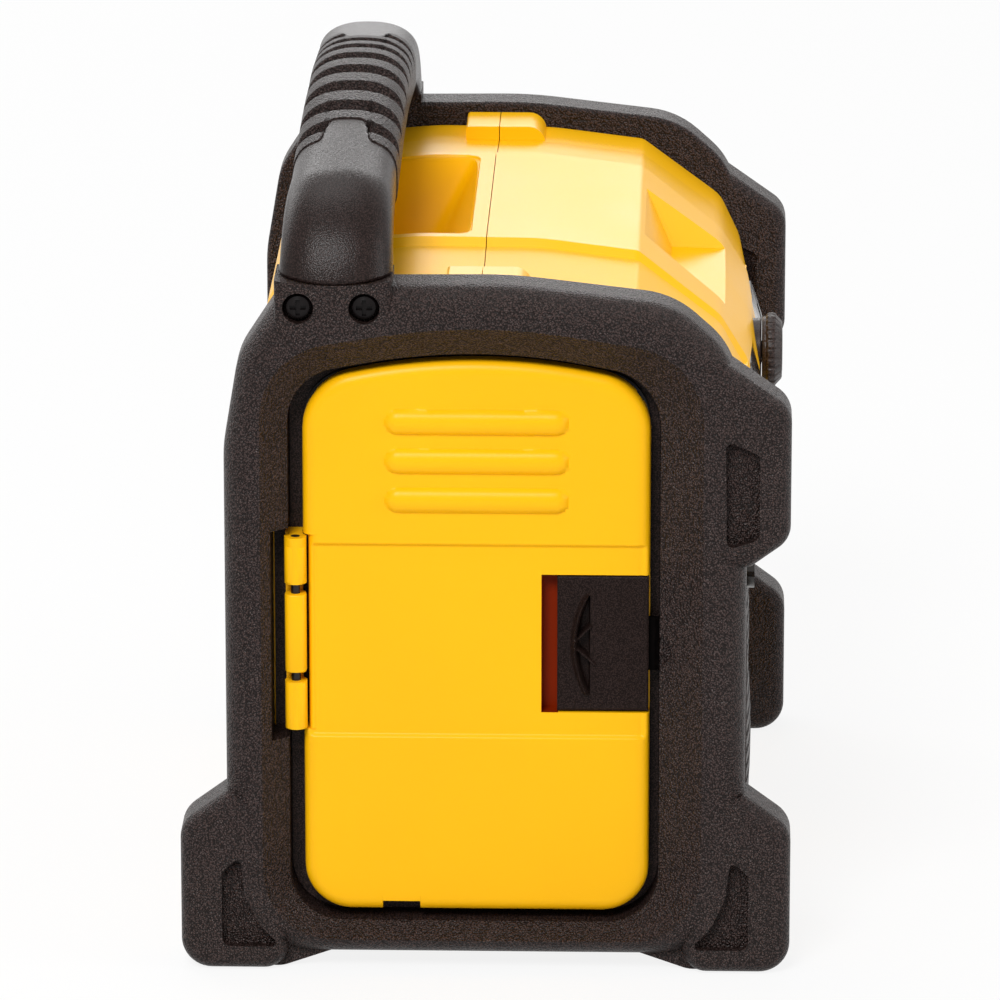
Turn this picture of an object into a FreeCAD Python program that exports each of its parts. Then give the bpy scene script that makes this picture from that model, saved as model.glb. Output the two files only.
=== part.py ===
import FreeCAD, Part
import math
import os

# Jobsite radio with a carrying handle and a lockable storage bay in its left end.
# Millimetres. X runs along the handle, the speakers face -Y, Z is up.
# The origin is on the ground, under the middle of the radio.
V = FreeCAD.Vector

# Overall driving sizes
WIDTH = 276.0
DEPTH = 198.0
HEIGHT = 272.0
CLEAR = 0.3
RUN_CLEAR = 0.05
WALL = 3.0

# End frames
FRAME_T = 21.5
FRAME_OUT = WIDTH / 2
FRAME_IN = FRAME_OUT - FRAME_T
RING_Y = 84.0
RING_BOTTOM = 5.0
RING_TOP = 230.0
RING_ROUND = 9.0
FOOT_Y = DEPTH / 2
FOOT_TOP = 60.5
BUMPER_Y = FOOT_Y - 1.0
BUMPER_LOW = 137.5
BUMPER_HIGH = 204.5
POCKET_DEPTH = 3.5

# Storage door and the opening in the frame round it
DOOR_FRONT = -53.0
DOOR_REAR = 58.8
DOOR_LOW = 18.5
DOOR_HIGH = 208.0
DOOR_SHOULDER = 11.5
DOOR_SETBACK = 8.0
DOOR_T = 8.0
DOOR_WALL = 2.6
DOOR_ROUND = 4.5
DOOR_GAP = 3.2
DOOR_FACE = FRAME_OUT - DOOR_SETBACK
RIB_LENGTH = 58.6
RIB_WIDTH = 8.0
RIB_PITCH = 13.0
RIB_TOP = 184.0
RIB_MID_Y = 2.8
BAND_LOW = 78.7
BAND_HIGH = 142.7
BAND_DEPTH = 1.2

# Hinge of the storage door
HINGE_Y = 61.2
HINGE_X = -(DOOR_FACE - 1.0)
KNUCKLE_R = 3.6
PIN_R = 1.5
HINGE_LOW = 81.0
HINGE_HIGH = 145.5
DOOR_KNUCKLE = (100.5, 126.0)
HINGE_RECESS_Y = 69.0

# Sliding latch of the storage door
LATCH_LOW = 87.0
LATCH_HIGH = 132.5
LATCH_FRONT = -52.6
LATCH_REAR = -23.1
LATCH_TRAVEL = 4.0
LATCH_T = 4.0

# Storage bay
BAY_INNER = 104.0
BAY_WALL = 2.5
BAY_FRONT = -49.0
BAY_REAR = 54.0
BAY_LOW = 25.0
BAY_HIGH = 190.0

# Body shells
BODY_X = FRAME_IN - CLEAR
BODY_LOW = 6.5
BODY_REAR = 84.0
BODY_FRONT = -82.0
SEAM_Y = 1.7
HUMP_X = 57.5
HUMP_CHAMFER_X = 61.2
HUMP_DROP = 2.4
FLANK_X = 95.0
FLANK_DROP = 5.0
TAB_FRONT = -14.2
TAB_REAR = 13.2
TAB_TOP = 226.5

# Finger scoop under the handle and the notch at the front of the top
SCOOP_FRONT = 6.6
SCOOP_REAR = 73.0
SCOOP_FLOOR = 203.0
NOTCH_FLOOR = 199.5

# Handle
GRIP_FRONT = 30.5
GRIP_REAR = 63.0
LEG_FRONT = 29.5
LEG_REAR = 66.0
LEG_OUT = FRAME_OUT - 1.0
LEG_IN = FRAME_IN + 1.0
LEG_SEAT = 231.0
GRIP_T = 25.5
GRIP_HALF = 72.0
GRIP_SKIN = 3.0
GROOVE_PITCH = 18.4
GROOVE_WIDTH = 9.5
GROOVE_DEPTH = 1.6
BOSS_FRONT = LEG_FRONT
BOSS_REAR = LEG_REAR + 1.0
BOSS_SCREW_Y = (38.3, 59.4)
BOSS_SCREW_Z = 223.5

# Control panel on the front
PANEL_X = 62.0
PANEL_LOW = 106.0
PANEL_HIGH = 183.5
PANEL_FACE = -87.0
PANEL_T = 3.0
PANEL_BACK = -76.0
KNOB_Z = 173.3
KNOB_R = 12.4
KNOB_FRONT = -96.0
KNOB_BACK = -89.2
NECK_R = 24.0
SHAFT_R = 3.0
BUTTON_TRAVEL = 1.0
BUTTON_PROUD = 1.5
BUTTON_W = 14.0
BUTTON_H = 7.5
WINDOW_X = 31.0
WINDOW_LOW = 126.0
WINDOW_HIGH = 144.0

# Speakers
SPEAKER_X = 60.0
SPEAKER_Z = 58.0
GRILLE_R = 42.0
CONE_R = 28.0
BASKET_R = 41.3
MAGNET_R = 22.0

# Battery dock in the rear
DOCK_X = 40.0
DOCK_LOW = 44.0
DOCK_HIGH = 138.0
DOCK_DEPTH = 30.0


def yz(x):
    """Puts a (Y, Z) outline in the plane at this X."""
    return lambda u, v: V(x, u, v)


def xz(y):
    """Puts an (X, Z) outline in the plane at this Y."""
    return lambda u, v: V(u, y, v)


def xy(z):
    """Puts an (X, Y) outline in the plane at this Z."""
    return lambda u, v: V(u, v, z)


def corner(before, here, after):
    """The start, middle and end of the round of one corner, in the outline's plane."""
    u, v, radius = here
    to_a = V(before[0] - u, before[1] - v, 0).normalize()
    to_b = V(after[0] - u, after[1] - v, 0).normalize()
    at = V(u, v, 0)
    if radius <= 0:
        return [at]
    half = to_a.getAngle(to_b) / 2
    reach = radius / math.tan(half)
    inward = (to_a + to_b).normalize()
    middle = at + inward * (radius / math.sin(half) - radius)
    return [at + to_a * reach, middle, at + to_b * reach]


def loop(points, place):
    """A closed wire through corners given as (u, v, radius)."""
    rounds = []
    for i, here in enumerate(points):
        after = points[(i + 1) % len(points)]
        rounds.append([place(p.x, p.y) for p in corner(points[i - 1], here, after)])
    edges = []
    for i, here in enumerate(rounds):
        following = rounds[(i + 1) % len(rounds)]
        if len(here) == 3:
            edges.append(Part.Arc(here[0], here[1], here[2]).toShape())
        if here[-1].distanceToPoint(following[0]) > 1e-6:
            edges.append(Part.LineSegment(here[-1], following[0]).toShape())
    return Part.Wire(edges)


def slab(points, place, push):
    """An outline pushed along a vector into a solid."""
    return Part.Face(loop(points, place)).extrude(push)


def box(x, y, z):
    """A box from three (low, high) pairs."""
    low = V(min(x), min(y), min(z))
    return Part.makeBox(abs(x[1] - x[0]), abs(y[1] - y[0]), abs(z[1] - z[0]), low)


def rod(radius, start, end):
    """A cylinder between two points."""
    along = end - start
    return Part.makeCylinder(radius, along.Length, start, along)


def turned(profile, start, along):
    """A solid turned from (radius, height) points about an axis through start."""
    wire = Part.makePolygon([V(r, 0, h) for r, h in profile + profile[:1]])
    solid = Part.Face(wire).revolve(V(0, 0, 0), V(0, 0, 1), 360)
    solid.Placement = FreeCAD.Placement(start, FreeCAD.Rotation(V(0, 0, 1), along))
    return solid


def rounded(solid, radius, wanted):
    """The solid with the edges that pass the test rounded."""
    edges = [edge for edge in solid.Edges if wanted(edge)]
    return solid.makeFillet(radius, edges)


def in_plane_x(edge, x):
    """True for an edge that lies in the plane at this X."""
    span = edge.BoundBox
    return abs(span.XMin - x) < 1e-4 and abs(span.XMax - x) < 1e-4


def joined(first, *others):
    """One solid from touching or overlapping ones."""
    return first.fuse(list(others)).removeSplitter()


def mirrored(solid):
    """The same piece for the other end of the radio."""
    return solid.mirror(V(0, 0, 0), V(1, 0, 0))


def save(name, shape):
    """Writes one node."""
    shape.exportStep("parts/" + name + ".step")


# End frames

RING = [
    (-RING_Y, RING_BOTTOM, 30), (RING_Y, RING_BOTTOM, 30), (RING_Y, 176, 50),
    (RING_Y - 5, 206, 24), (66, RING_TOP - 4, 10), (50, RING_TOP - 0.5, 20),
    (-8, RING_TOP, 150), (-60, RING_TOP - 6, 30), (-79, 207, 26), (-RING_Y, 172, 60),
]


def door_outline(grow):
    """Outline of the storage door, grown evenly by a gap."""
    shoulder = DOOR_HIGH - DOOR_SHOULDER + grow
    return [
        (DOOR_FRONT - grow, DOOR_LOW - grow, 15 + grow), (DOOR_REAR + grow, DOOR_LOW - grow, 15 + grow),
        (DOOR_REAR + grow, shoulder, 16 + grow), (3, DOOR_HIGH + grow, 190),
        (DOOR_FRONT - grow, shoulder, 16 + grow),
    ]


def opening_outline(front, rear, low, high, round_by):
    """Outline of the frame's opening at one depth."""
    return [
        (front, low, round_by), (rear, low, round_by), (rear, high - DOOR_SHOULDER, round_by + 1),
        (3, high, 190), (front, high - DOOR_SHOULDER, round_by + 2),
    ]


def rim_outline(gap):
    """Outline of the storage bay's rim, which the left frame clamps, grown by a gap."""
    return opening_outline(DOOR_FRONT - DOOR_GAP - 5 - gap, DOOR_REAR + 4.7 + 5 + gap,
                           DOOR_LOW - 3 - 5 - gap, DOOR_HIGH + 2.4 + 5 + gap, 21)


def frame_foot(side):
    """One foot block, front (side -1) or rear (side 1), of the right end frame."""
    s = side
    outline = [
        (64 * s, 0, 8), (FOOT_Y * s, 0, 10), (FOOT_Y * s, FOOT_TOP - 11, 10),
        (84 * s, FOOT_TOP, 3), (74 * s, FOOT_TOP, 0), (74 * s, 34, 0), (64 * s, 14, 0),
    ]
    foot = slab(outline, yz(FRAME_IN), V(FRAME_T, 0, 0))
    free = lambda e: e.CenterOfMass.y * s > 74.5 or e.CenterOfMass.z < 1
    foot = rounded(foot, 5, lambda e: in_plane_x(e, FRAME_OUT) and free(e))
    foot = rounded(foot, 4, lambda e: in_plane_x(e, FRAME_IN) and free(e))
    wedge = [(50 * s, 5.6, 0), (66 * s, 0, 10), (80 * s, 0, 0), (80 * s, 14, 0), (50 * s, 14, 0)]
    return foot, slab(wedge, yz(FRAME_IN + 3), V(FRAME_T - 9, 0, 0))


def foot_pocket(side):
    """The hollow in a foot's outer face, between the ring's corner and the foot's rim."""
    s = side
    return [
        (66 * s, 8.5, 1.5), (85.5 * s, 8.5, 3), (85.5 * s, 34, 3), (79.5 * s, 39.5, 1.5),
        (78 * s, 26, 12), (73 * s, 15.5, 12),
    ]


def frame_bumper():
    """The upper bumper on the front of the right end frame."""
    outline = [
        (-73, BUMPER_LOW, 0), (-85, BUMPER_LOW, 3), (-BUMPER_Y, BUMPER_LOW + 9.5, 9),
        (-BUMPER_Y, BUMPER_HIGH - 14, 10), (-77.5, BUMPER_HIGH + 0.5, 3), (-72, BUMPER_HIGH + 0.5, 0),
    ]
    block = slab(outline, yz(FRAME_IN), V(FRAME_T, 0, 0))
    free = lambda e: e.CenterOfMass.y < -74
    block = rounded(block, 5.5, lambda e: in_plane_x(e, FRAME_OUT) and free(e))
    return rounded(block, 4, lambda e: in_plane_x(e, FRAME_IN) and free(e))


BUMPER_POCKET = [(-77, 181, 2), (-88, 176, 3), (-88, 148, 3), (-77.5, 144.5, 2)]


def pocket_cut(outline, outer_face):
    """The cutter of a pocket in the outer or the inner face of the right frame."""
    if outer_face:
        return slab(outline, yz(FRAME_OUT - POCKET_DEPTH), V(POCKET_DEPTH + 1, 0, 0))
    return slab(outline, yz(FRAME_IN - 1), V(POCKET_DEPTH + 1, 0, 0))


def handle_boss():
    """The block on the frame's rear top corner that carries the handle's leg."""
    seat = Part.Arc(V(FRAME_IN, BOSS_FRONT, LEG_SEAT + 1.5), V(FRAME_IN, 48, LEG_SEAT),
                    V(FRAME_IN, BOSS_REAR, LEG_SEAT + 1.5)).toShape()
    low = 200.0
    corners = [
        V(FRAME_IN, BOSS_REAR, LEG_SEAT + 1.5), V(FRAME_IN, BOSS_REAR, low),
        V(FRAME_IN, BOSS_FRONT, low), V(FRAME_IN, BOSS_FRONT, LEG_SEAT + 1.5),
    ]
    sides = [Part.LineSegment(corners[i], corners[i + 1]).toShape() for i in range(3)]
    block = Part.Face(Part.Wire([seat] + sides)).extrude(V(FRAME_T, 0, 0))
    upright = lambda e: abs(e.CenterOfMass.x - FRAME_OUT) < 0.1 and e.BoundBox.ZLength > 20
    return rounded(block, 2, upright)


def tongue(gap):
    """The handle leg's tongue inside the boss, grown by a gap to make its pocket."""
    return box((FRAME_IN + 4.5 - gap, FRAME_OUT - 7 + gap), (33 - gap, 63 + gap),
               (213 - gap, LEG_SEAT + 6))


def end_frame(latch_side):
    """The right end frame: ring, two feet, bumper and handle boss in one moulding."""
    ring = slab(RING, yz(FRAME_IN), V(FRAME_T, 0, 0))
    ring = rounded(ring, RING_ROUND, lambda e: in_plane_x(e, FRAME_OUT))
    ring = rounded(ring, 1.5, lambda e: in_plane_x(e, FRAME_IN))
    parts = [frame_bumper(), handle_boss()]
    for side in (-1, 1):
        parts.extend(frame_foot(side))
    frame = ring.fuse(parts)
    face = loop(opening_outline(-70, 72, 10.5, 219.5, 24), yz(FRAME_OUT + 0.01))
    lip = loop(opening_outline(DOOR_FRONT - DOOR_GAP, DOOR_REAR + 4.7, DOOR_LOW - 3, DOOR_HIGH + 2.4, 17),
               yz(FRAME_OUT - 7.5))
    slope = Part.makeLoft([face, lip], True, True)
    through = slab(opening_outline(DOOR_FRONT - DOOR_GAP, DOOR_REAR + 4.7, DOOR_LOW - 3,
                                   DOOR_HIGH + 2.4, 17),
                   yz(FRAME_IN - 1), V(FRAME_T - 6.5, 0, 0))
    rebate = slab(rim_outline(CLEAR), yz(FRAME_IN - 1), V(RIM_T + CLEAR + 1, 0, 0))
    cutters = [slope, through, pocket_cut(BUMPER_POCKET, True), pocket_cut(BUMPER_POCKET, False)]
    if latch_side:
        cutters.append(rebate)
    for side in (-1, 1):
        cutters.append(pocket_cut(foot_pocket(side), True))
        cutters.append(pocket_cut(foot_pocket(side), False))
    cutters.append(tongue(CLEAR))
    for y in BOSS_SCREW_Y:
        cutters.append(rod(5.0, V(FRAME_OUT - 4, y, BOSS_SCREW_Z), V(FRAME_OUT + 1, y, BOSS_SCREW_Z)))
        cutters.append(rod(2.2, V(FRAME_OUT - 8, y, BOSS_SCREW_Z), V(FRAME_OUT, y, BOSS_SCREW_Z)))
    for y, z in FRAME_SCREWS:
        cutters.append(rod(2.1, V(FRAME_IN - 1, y, z), V(FRAME_IN + 13, y, z)))
    if latch_side:
        cutters.append(box((FRAME_IN - 1, FRAME_OUT + 1), (DOOR_REAR, HINGE_RECESS_Y),
                           (HINGE_LOW - 3, HINGE_HIGH + 3)))
        relief = [(DOOR_FRONT, 117, 0), (DOOR_FRONT, 99, 0), (-61.5, 108, 4)]
        cutters.append(slab(relief, yz(DOOR_FACE - 1), V(12, 0, 0)))
    return frame.cut(cutters).removeSplitter()


FRAME_SCREWS = [(-70, 35), (-70, 185), (74, 35), (74, 158)]



def inset_outline(points, depth):
    """The outline moved inward by a wall, with its rounds kept concentric."""
    lines = []
    for i, here in enumerate(points):
        after = points[(i + 1) % len(points)]
        along = V(after[0] - here[0], after[1] - here[1], 0).normalize()
        inward = V(-along.y, along.x, 0)
        lines.append((V(here[0], here[1], 0) + inward * depth, along))
    result = []
    for i, here in enumerate(points):
        (a, da), (b, db) = lines[i - 1], lines[i]
        cross = da.x * db.y - da.y * db.x
        t = ((b.x - a.x) * db.y - (b.y - a.y) * db.x) / cross
        at = a + da * t
        turn = here[2] - depth if cross > 0 else here[2] + depth
        result.append((at.x, at.y, max(turn, 0.5)))
    return result


# Body shells

def body_outline(drop, bulge):
    """The body's (Y, Z) outline where its top is lowered and its front pushed out."""
    points = [
        (BODY_REAR, BODY_LOW, 14), (BODY_REAR, 151, 60), (73.5, 205, 22), (63.5, 223, 9),
        (24, 226.8, 90), (-16, 226.4, 90), (-48, 222.4, 4), (-75, 201, 12),
        (-84.2 - bulge, 186, 12), (-87.3 - bulge, 170, 18), (-82.5, 125, 60),
        (BODY_FRONT, BODY_LOW, 14),
    ]
    lowered = []
    for y, z, radius in points:
        share = min(max((z - 150) / 70, 0), 1)
        lowered.append((y, z - drop * share, radius))
    return lowered


BODY_SECTIONS = [
    (0.0, 0.0, 1.5), (30.0, 0.0, 1.1), (HUMP_X, 0.0, 0.0), (HUMP_CHAMFER_X, HUMP_DROP, -1.2),
    (FLANK_X, FLANK_DROP, -2.0), (BODY_X, FLANK_DROP, -2.6),
]


def body_block(depth):
    """The whole body as a solid, made smaller all round by this depth."""
    wires = []
    both = [(-x, d, b) for x, d, b in reversed(BODY_SECTIONS[1:])] + BODY_SECTIONS
    for x, drop, bulge in both:
        place = yz(math.copysign(min(abs(x), BODY_X - depth), x))
        outline = body_outline(drop, bulge)
        wires.append(loop(inset_outline(outline, depth) if depth else outline, place))
    return Part.makeLoft(wires, True, True)


def tapered(low_points, low_z, high_points, high_z):
    """A solid between two plan outlines at two heights, either given per point."""
    lows = low_z if isinstance(low_z, list) else [low_z] * len(low_points)
    bottom = Part.makePolygon([V(p[0], p[1], z) for p, z in zip(low_points, lows)]
                              + [V(low_points[0][0], low_points[0][1], lows[0])])
    top = Part.makePolygon([V(p[0], p[1], high_z) for p in high_points]
                           + [V(high_points[0][0], high_points[0][1], high_z)])
    return Part.makeLoft([bottom, top], True, True)


def notch(grow):
    """The finger notch at the front of the top, grown by the wall behind it."""
    front = -90.0
    low = [(-28 - grow, -58.5 + grow), (28 + grow, -58.5 + grow), (43 + grow, front), (-43 - grow, front)]
    high = [(-33 - grow, -45 + grow), (33 + grow, -45 + grow), (62 + grow, front), (-62 - grow, front)]
    floor = [NOTCH_FLOOR + 2 - grow] * 2 + [NOTCH_FLOOR - 3 - grow] * 2
    return tapered(low, floor, high, 232.0)


def scoop(grow):
    """The hand scoop under the handle, grown by the wall round it."""
    low = [(-38 - grow, 20 - grow, 8), (38 + grow, 20 - grow, 8), (38 + grow, 50 + grow, 8),
           (-38 - grow, 50 + grow, 8)]
    high = [(-55 - grow, SCOOP_FRONT - 1.2 - grow, 5), (55 + grow, SCOOP_FRONT - 1.2 - grow, 5),
            (55 + grow, 60 + grow, 5), (-55 - grow, 60 + grow, 5)]
    bottom = loop(low, xy(SCOOP_FLOOR - grow))
    top = loop(high, xy(229.0))
    return Part.makeLoft([bottom, top], True, True)


def seam_tab(side):
    """A raised tab across the seam, beside one end frame."""
    outline = [
        (TAB_FRONT, 216, 0), (TAB_REAR, 216, 0), (TAB_REAR, TAB_TOP, 1), (TAB_FRONT, TAB_TOP, 6),
    ]
    return slab(outline, yz(side * FLANK_X), V(side * (BODY_X - FLANK_X), 0, 0))


def panel_outline(gap):
    """The control panel's (X, Z) outline, grown by a gap."""
    x, low, high = PANEL_X + gap, PANEL_LOW - gap, PANEL_HIGH + gap
    return [(-x, low, 10), (x, low, 10), (x, high, 12), (-x, high, 12)]


def neck(gap):
    """The round neck of the body that stands through the panel's notch."""
    return rod(NECK_R - gap, V(0, -95, KNOB_Z), V(0, -70, KNOB_Z))


def body_bosses(outer):
    """The screw bosses that join the two shells, cut to the body's form."""
    return [rod(4.5, V(x, -90, z), V(x, 90, z)).common(outer) for x, z in HOUSING_SCREWS]


def end_openings():
    """Cutters through the end walls: the storage bay's opening and all screw holes."""
    y = (BAY_FRONT - BAY_WALL - CLEAR, BAY_REAR + BAY_WALL + CLEAR)
    z = (BAY_LOW - BAY_WALL - CLEAR, BAY_HIGH + BAY_WALL + CLEAR)
    cutters = [box((-FRAME_IN - 5, 20 - FRAME_IN), y, z)]
    for y, z in PANEL_SCREWS:
        cutters.append(rod(1.65, V(BODY_X - WALL - 1, y, z), V(BODY_X + 1, y, z)))
    for y, z in FRAME_SCREWS:
        for side in (-1, 1):
            cutters.append(rod(2.1, V(side * (BODY_X - WALL - 1), y, z), V(side * (BODY_X + 1), y, z)))
    return cutters


def front_housing(shell):
    """The front shell: end walls, speaker seats, panel seat and the notch."""
    half = box((-200, 200), (-200, SEAM_Y - SEAM_HALF_GAP), (0, 300))
    outer = body_block(0)
    liner = notch(WALL).common(outer)
    seat = box((-PANEL_X - 3, PANEL_X + 3), (PANEL_SEAT, PANEL_SEAT + 4), (PANEL_LOW - 3, PANEL_HIGH + 2))
    pads = [rod(GRILLE_R, V(s * SPEAKER_X, -81, SPEAKER_Z), V(s * SPEAKER_X, SPEAKER_SEAT, SPEAKER_Z))
            for s in (-1, 1)]
    spacers = [rod(3, V(x, PANEL_SEAT + 2, z), V(x, BOARD_Y, z)) for x, z in BOARD_SCREWS]
    cradles = [box((s * 45 - 3, s * 45 + 3), (-28, -12), (206, 224.5)) for s in (-1, 1)]
    body = shell.fuse([liner.common(half)] + pads + [seat] + spacers + cradles + body_bosses(outer))
    body = body.fuse([seam_tab(s) for s in (-1, 1)]).common(half)
    recess = slab(panel_outline(CLEAR), xz(-100), V(0, 100 + PANEL_SEAT, 0)).cut(neck(0))
    window = slab([(-58, 110, 6), (58, 110, 6), (58, 177, 8), (-58, 177, 8)], xz(-86), V(0, 12, 0))
    cutters = [notch(0), recess, window.cut(neck(0))]
    for s in (-1, 1):
        at = V(s * SPEAKER_X, 0, SPEAKER_Z)
        cutters.append(rod(GRILLE_R + CLEAR, at + V(0, -95, 0), at + V(0, GRILLE_BACK, 0)))
        cutters.append(rod(GRILLE_R - 7.5, at + V(0, -95, 0), at + V(0, -70, 0)))
        cutters.append(rod(FERRITE_R + 0.15, V(s * 41, -20, FERRITE_Z), V(s * 49, -20, FERRITE_Z)))
        for y, z in SPEAKER_SCREWS:
            cutters.append(rod(1.1, at + V(y, SPEAKER_SEAT + 1, z), at + V(y, SPEAKER_SEAT - 2.5, z)))
    cutters.append(rod(SHAFT_R + 0.6, V(0, -95, KNOB_Z), V(0, -80, KNOB_Z)))
    cutters.append(box((-7, 7), (-85.8, -79), (KNOB_Z - 7, KNOB_Z + 7)))
    for x, z in BOARD_SCREWS:
        cutters.append(rod(1.1, V(x, BOARD_Y + 1, z), V(x, BOARD_Y - 4, z)))
    for x, z in PANEL_CLIPS:
        cutters.append(rod(1.35, V(x, -90, z), V(x, -75, z)))
    for x, z in HOUSING_SCREWS:
        cutters.append(rod(1.6, V(x, -20, z), V(x, SEAM_Y + 1, z)))
    return body.cut(cutters + end_openings())


def rear_housing(shell):
    """The rear shell: end walls, hand scoop, dock and inlet openings."""
    half = box((-200, 200), (SEAM_Y + SEAM_HALF_GAP, 200), (0, 300))
    outer = body_block(0)
    liner = scoop(WALL).common(outer)
    tabs = [seam_tab(s) for s in (-1, 1)]
    body = shell.fuse([liner.common(half)] + body_bosses(outer) + tabs).common(half)
    dock_hole = box((-DOCK_X - CLEAR, DOCK_X + CLEAR), (70, 95), (DOCK_LOW - CLEAR, DOCK_HIGH + CLEAR))
    cutters = [scoop(0), dock_hole]
    cutters.append(box((INLET_X - 11.3, INLET_X + 11.3), (70, 95), (INLET_Z - 7.3, INLET_Z + 7.3)))
    for x, z in HOUSING_SCREWS:
        cutters.append(rod(1.9, V(x, 0, z), V(x, 84, z)))
        cutters.append(rod(3.6, V(x, HOUSING_SEAT, z), V(x, 90, z)))
    for x, z in DOCK_SCREWS:
        cutters.append(rod(1.2, V(x, 80, z), V(x, 90, z)))
    return body.cut(cutters + end_openings())


SEAM_HALF_GAP = 0.15
PANEL_SEAT = -84.0
SPEAKER_SEAT = -77.0
GRILLE_BACK = -80.8
BOARD_Y = -79.2
FERRITE_R = 5.0
FERRITE_Z = 214.0
INLET_X = -78.0
INLET_Z = 40.0
HOUSING_SCREWS = [(-88, 19), (88, 19), (-88, 165), (88, 165)]
HOUSING_SEAT = 76.0
DOCK_SCREWS = [(-DOCK_X - 3.5, DOCK_LOW - 3.5), (DOCK_X + 3.5, DOCK_LOW - 3.5),
               (-DOCK_X - 3.5, DOCK_HIGH + 3.5), (DOCK_X + 3.5, DOCK_HIGH + 3.5)]
BOARD_SCREWS = [(-61, 112), (61, 112), (-61, 175), (61, 175)]
SPEAKER_SCREWS = [(38.2 * math.cos(math.radians(a)), 38.2 * math.sin(math.radians(a)))
                  for a in (45, 135, 225, 315)]


# Storage door, end panel, latch and hinge (drawn for the right end, mirrored where needed)

def door_rib(z, face):
    """One raised half-round rib on a door or panel."""
    proud = 2.2
    x = face + proud - RIB_WIDTH / 2
    half = RIB_LENGTH / 2 - RIB_WIDTH / 2
    bar = rod(RIB_WIDTH / 2, V(x, RIB_MID_Y - half, z), V(x, RIB_MID_Y + half, z))
    ends = [Part.makeSphere(RIB_WIDTH / 2, V(x, RIB_MID_Y + s * half, z)) for s in (-1, 1)]
    return bar.fuse(ends)


def door_plate(back):
    """The hollow-backed plate with bevelled edge, ribs and sunk band, shared by door and panel."""
    plate = slab(door_outline(0), yz(back), V(DOOR_FACE - back, 0, 0))
    plate = rounded(plate, DOOR_ROUND, lambda e: in_plane_x(e, DOOR_FACE))
    ribs = [door_rib(RIB_TOP - i * RIB_PITCH, DOOR_FACE) for i in range(3)]
    band = [
        (DOOR_FACE + 1, BAND_HIGH + 2.2, 0), (DOOR_FACE - BAND_DEPTH, BAND_HIGH, 0),
        (DOOR_FACE - BAND_DEPTH, BAND_LOW, 0), (DOOR_FACE + 1, BAND_LOW - 2.2, 0),
    ]
    sunk = slab(band, xz(-80), V(0, 160, 0))
    cavity = slab(inset_outline(door_outline(0), DOOR_WALL), yz(back - 1),
                  V(DOOR_FACE - DOOR_WALL - back + 1, 0, 0))
    foot_notch = box((back - 1, DOOR_FACE + 1), (21.3, 33.5), (DOOR_LOW - 1, DOOR_LOW + 3.3))
    return plate.fuse(ribs).cut([sunk, cavity, foot_notch])


def storage_door():
    """The storage door with its latch pocket and its hinge knuckle."""
    back = DOOR_FACE - DOOR_T
    door = door_plate(back)
    housing = box((back, DOOR_FACE - 2), (DOOR_FRONT + 2, LATCH_REAR + LATCH_TRAVEL + 3.5),
                  (LATCH_LOW - 3, LATCH_HIGH + 3.5))
    barrel = rod(KNUCKLE_R, V(-HINGE_X, HINGE_Y, DOOR_KNUCKLE[0]), V(-HINGE_X, HINGE_Y, DOOR_KNUCKLE[1]))
    arm = box((DOOR_FACE - 5, DOOR_FACE - 1.2), (DOOR_REAR - 5, HINGE_Y), DOOR_KNUCKLE)
    door = door.fuse([housing])
    clear_x = KNUCKLE_R + 0.5
    strip = box((back - 1, DOOR_FACE + 1), (HINGE_Y - clear_x, 70), (HINGE_LOW - 0.6, HINGE_HIGH + 0.6))
    inner_wall = box((back, DOOR_FACE - 1.5), (HINGE_Y - clear_x - DOOR_WALL, HINGE_Y - clear_x),
                     (HINGE_LOW - 4, HINGE_HIGH + 4))
    pocket = box((DOOR_FACE - 6, DOOR_FACE + 1), (DOOR_FRONT - 1, LATCH_REAR + LATCH_TRAVEL + 0.9),
                 (LATCH_LOW - 0.5, LATCH_HIGH + 0.5))
    door = door.fuse([inner_wall]).cut([strip, pocket])
    door = door.fuse([barrel, arm]).removeSplitter()
    bore = rod(PIN_R + RUN_CLEAR, V(-HINGE_X, HINGE_Y, HINGE_LOW), V(-HINGE_X, HINGE_Y, HINGE_HIGH))
    return door.cut(bore)


def door_latch():
    """The sliding latch: plate, curved finger pull with pockets, and its bolt."""
    low = DOOR_FACE - 6 + CLEAR
    plate = box((low, low + LATCH_T), (LATCH_FRONT, LATCH_REAR), (LATCH_LOW, LATCH_HIGH))
    bolt = box((low, low + 2.7), (DOOR_FRONT - DOOR_GAP + CLEAR, LATCH_FRONT), (100, 118))
    x = low + LATCH_T - 0.5
    pull = [(-28.4, 90.5, 1), (-28.4, 129, 1), (-34, 125.5, 10), (-37.4, 109.7, 20), (-34, 94, 10)]
    grip = slab(pull, yz(x), V(DOOR_FACE + 2.2 - x, 0, 0))
    hollow_low = [(-30, 95, 0.8), (-30, 107, 0.8), (-33.6, 101.5, 1), (-32.4, 96.5, 1)]
    hollow_high = [(-30, 112.4, 0.8), (-30, 124.5, 0.8), (-32.4, 123, 1), (-33.8, 118, 1)]
    pockets = [slab(h, yz(x + 1), V(6, 0, 0)) for h in (hollow_low, hollow_high)]
    return plate.fuse([bolt, grip]).removeSplitter().cut(pockets)


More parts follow.
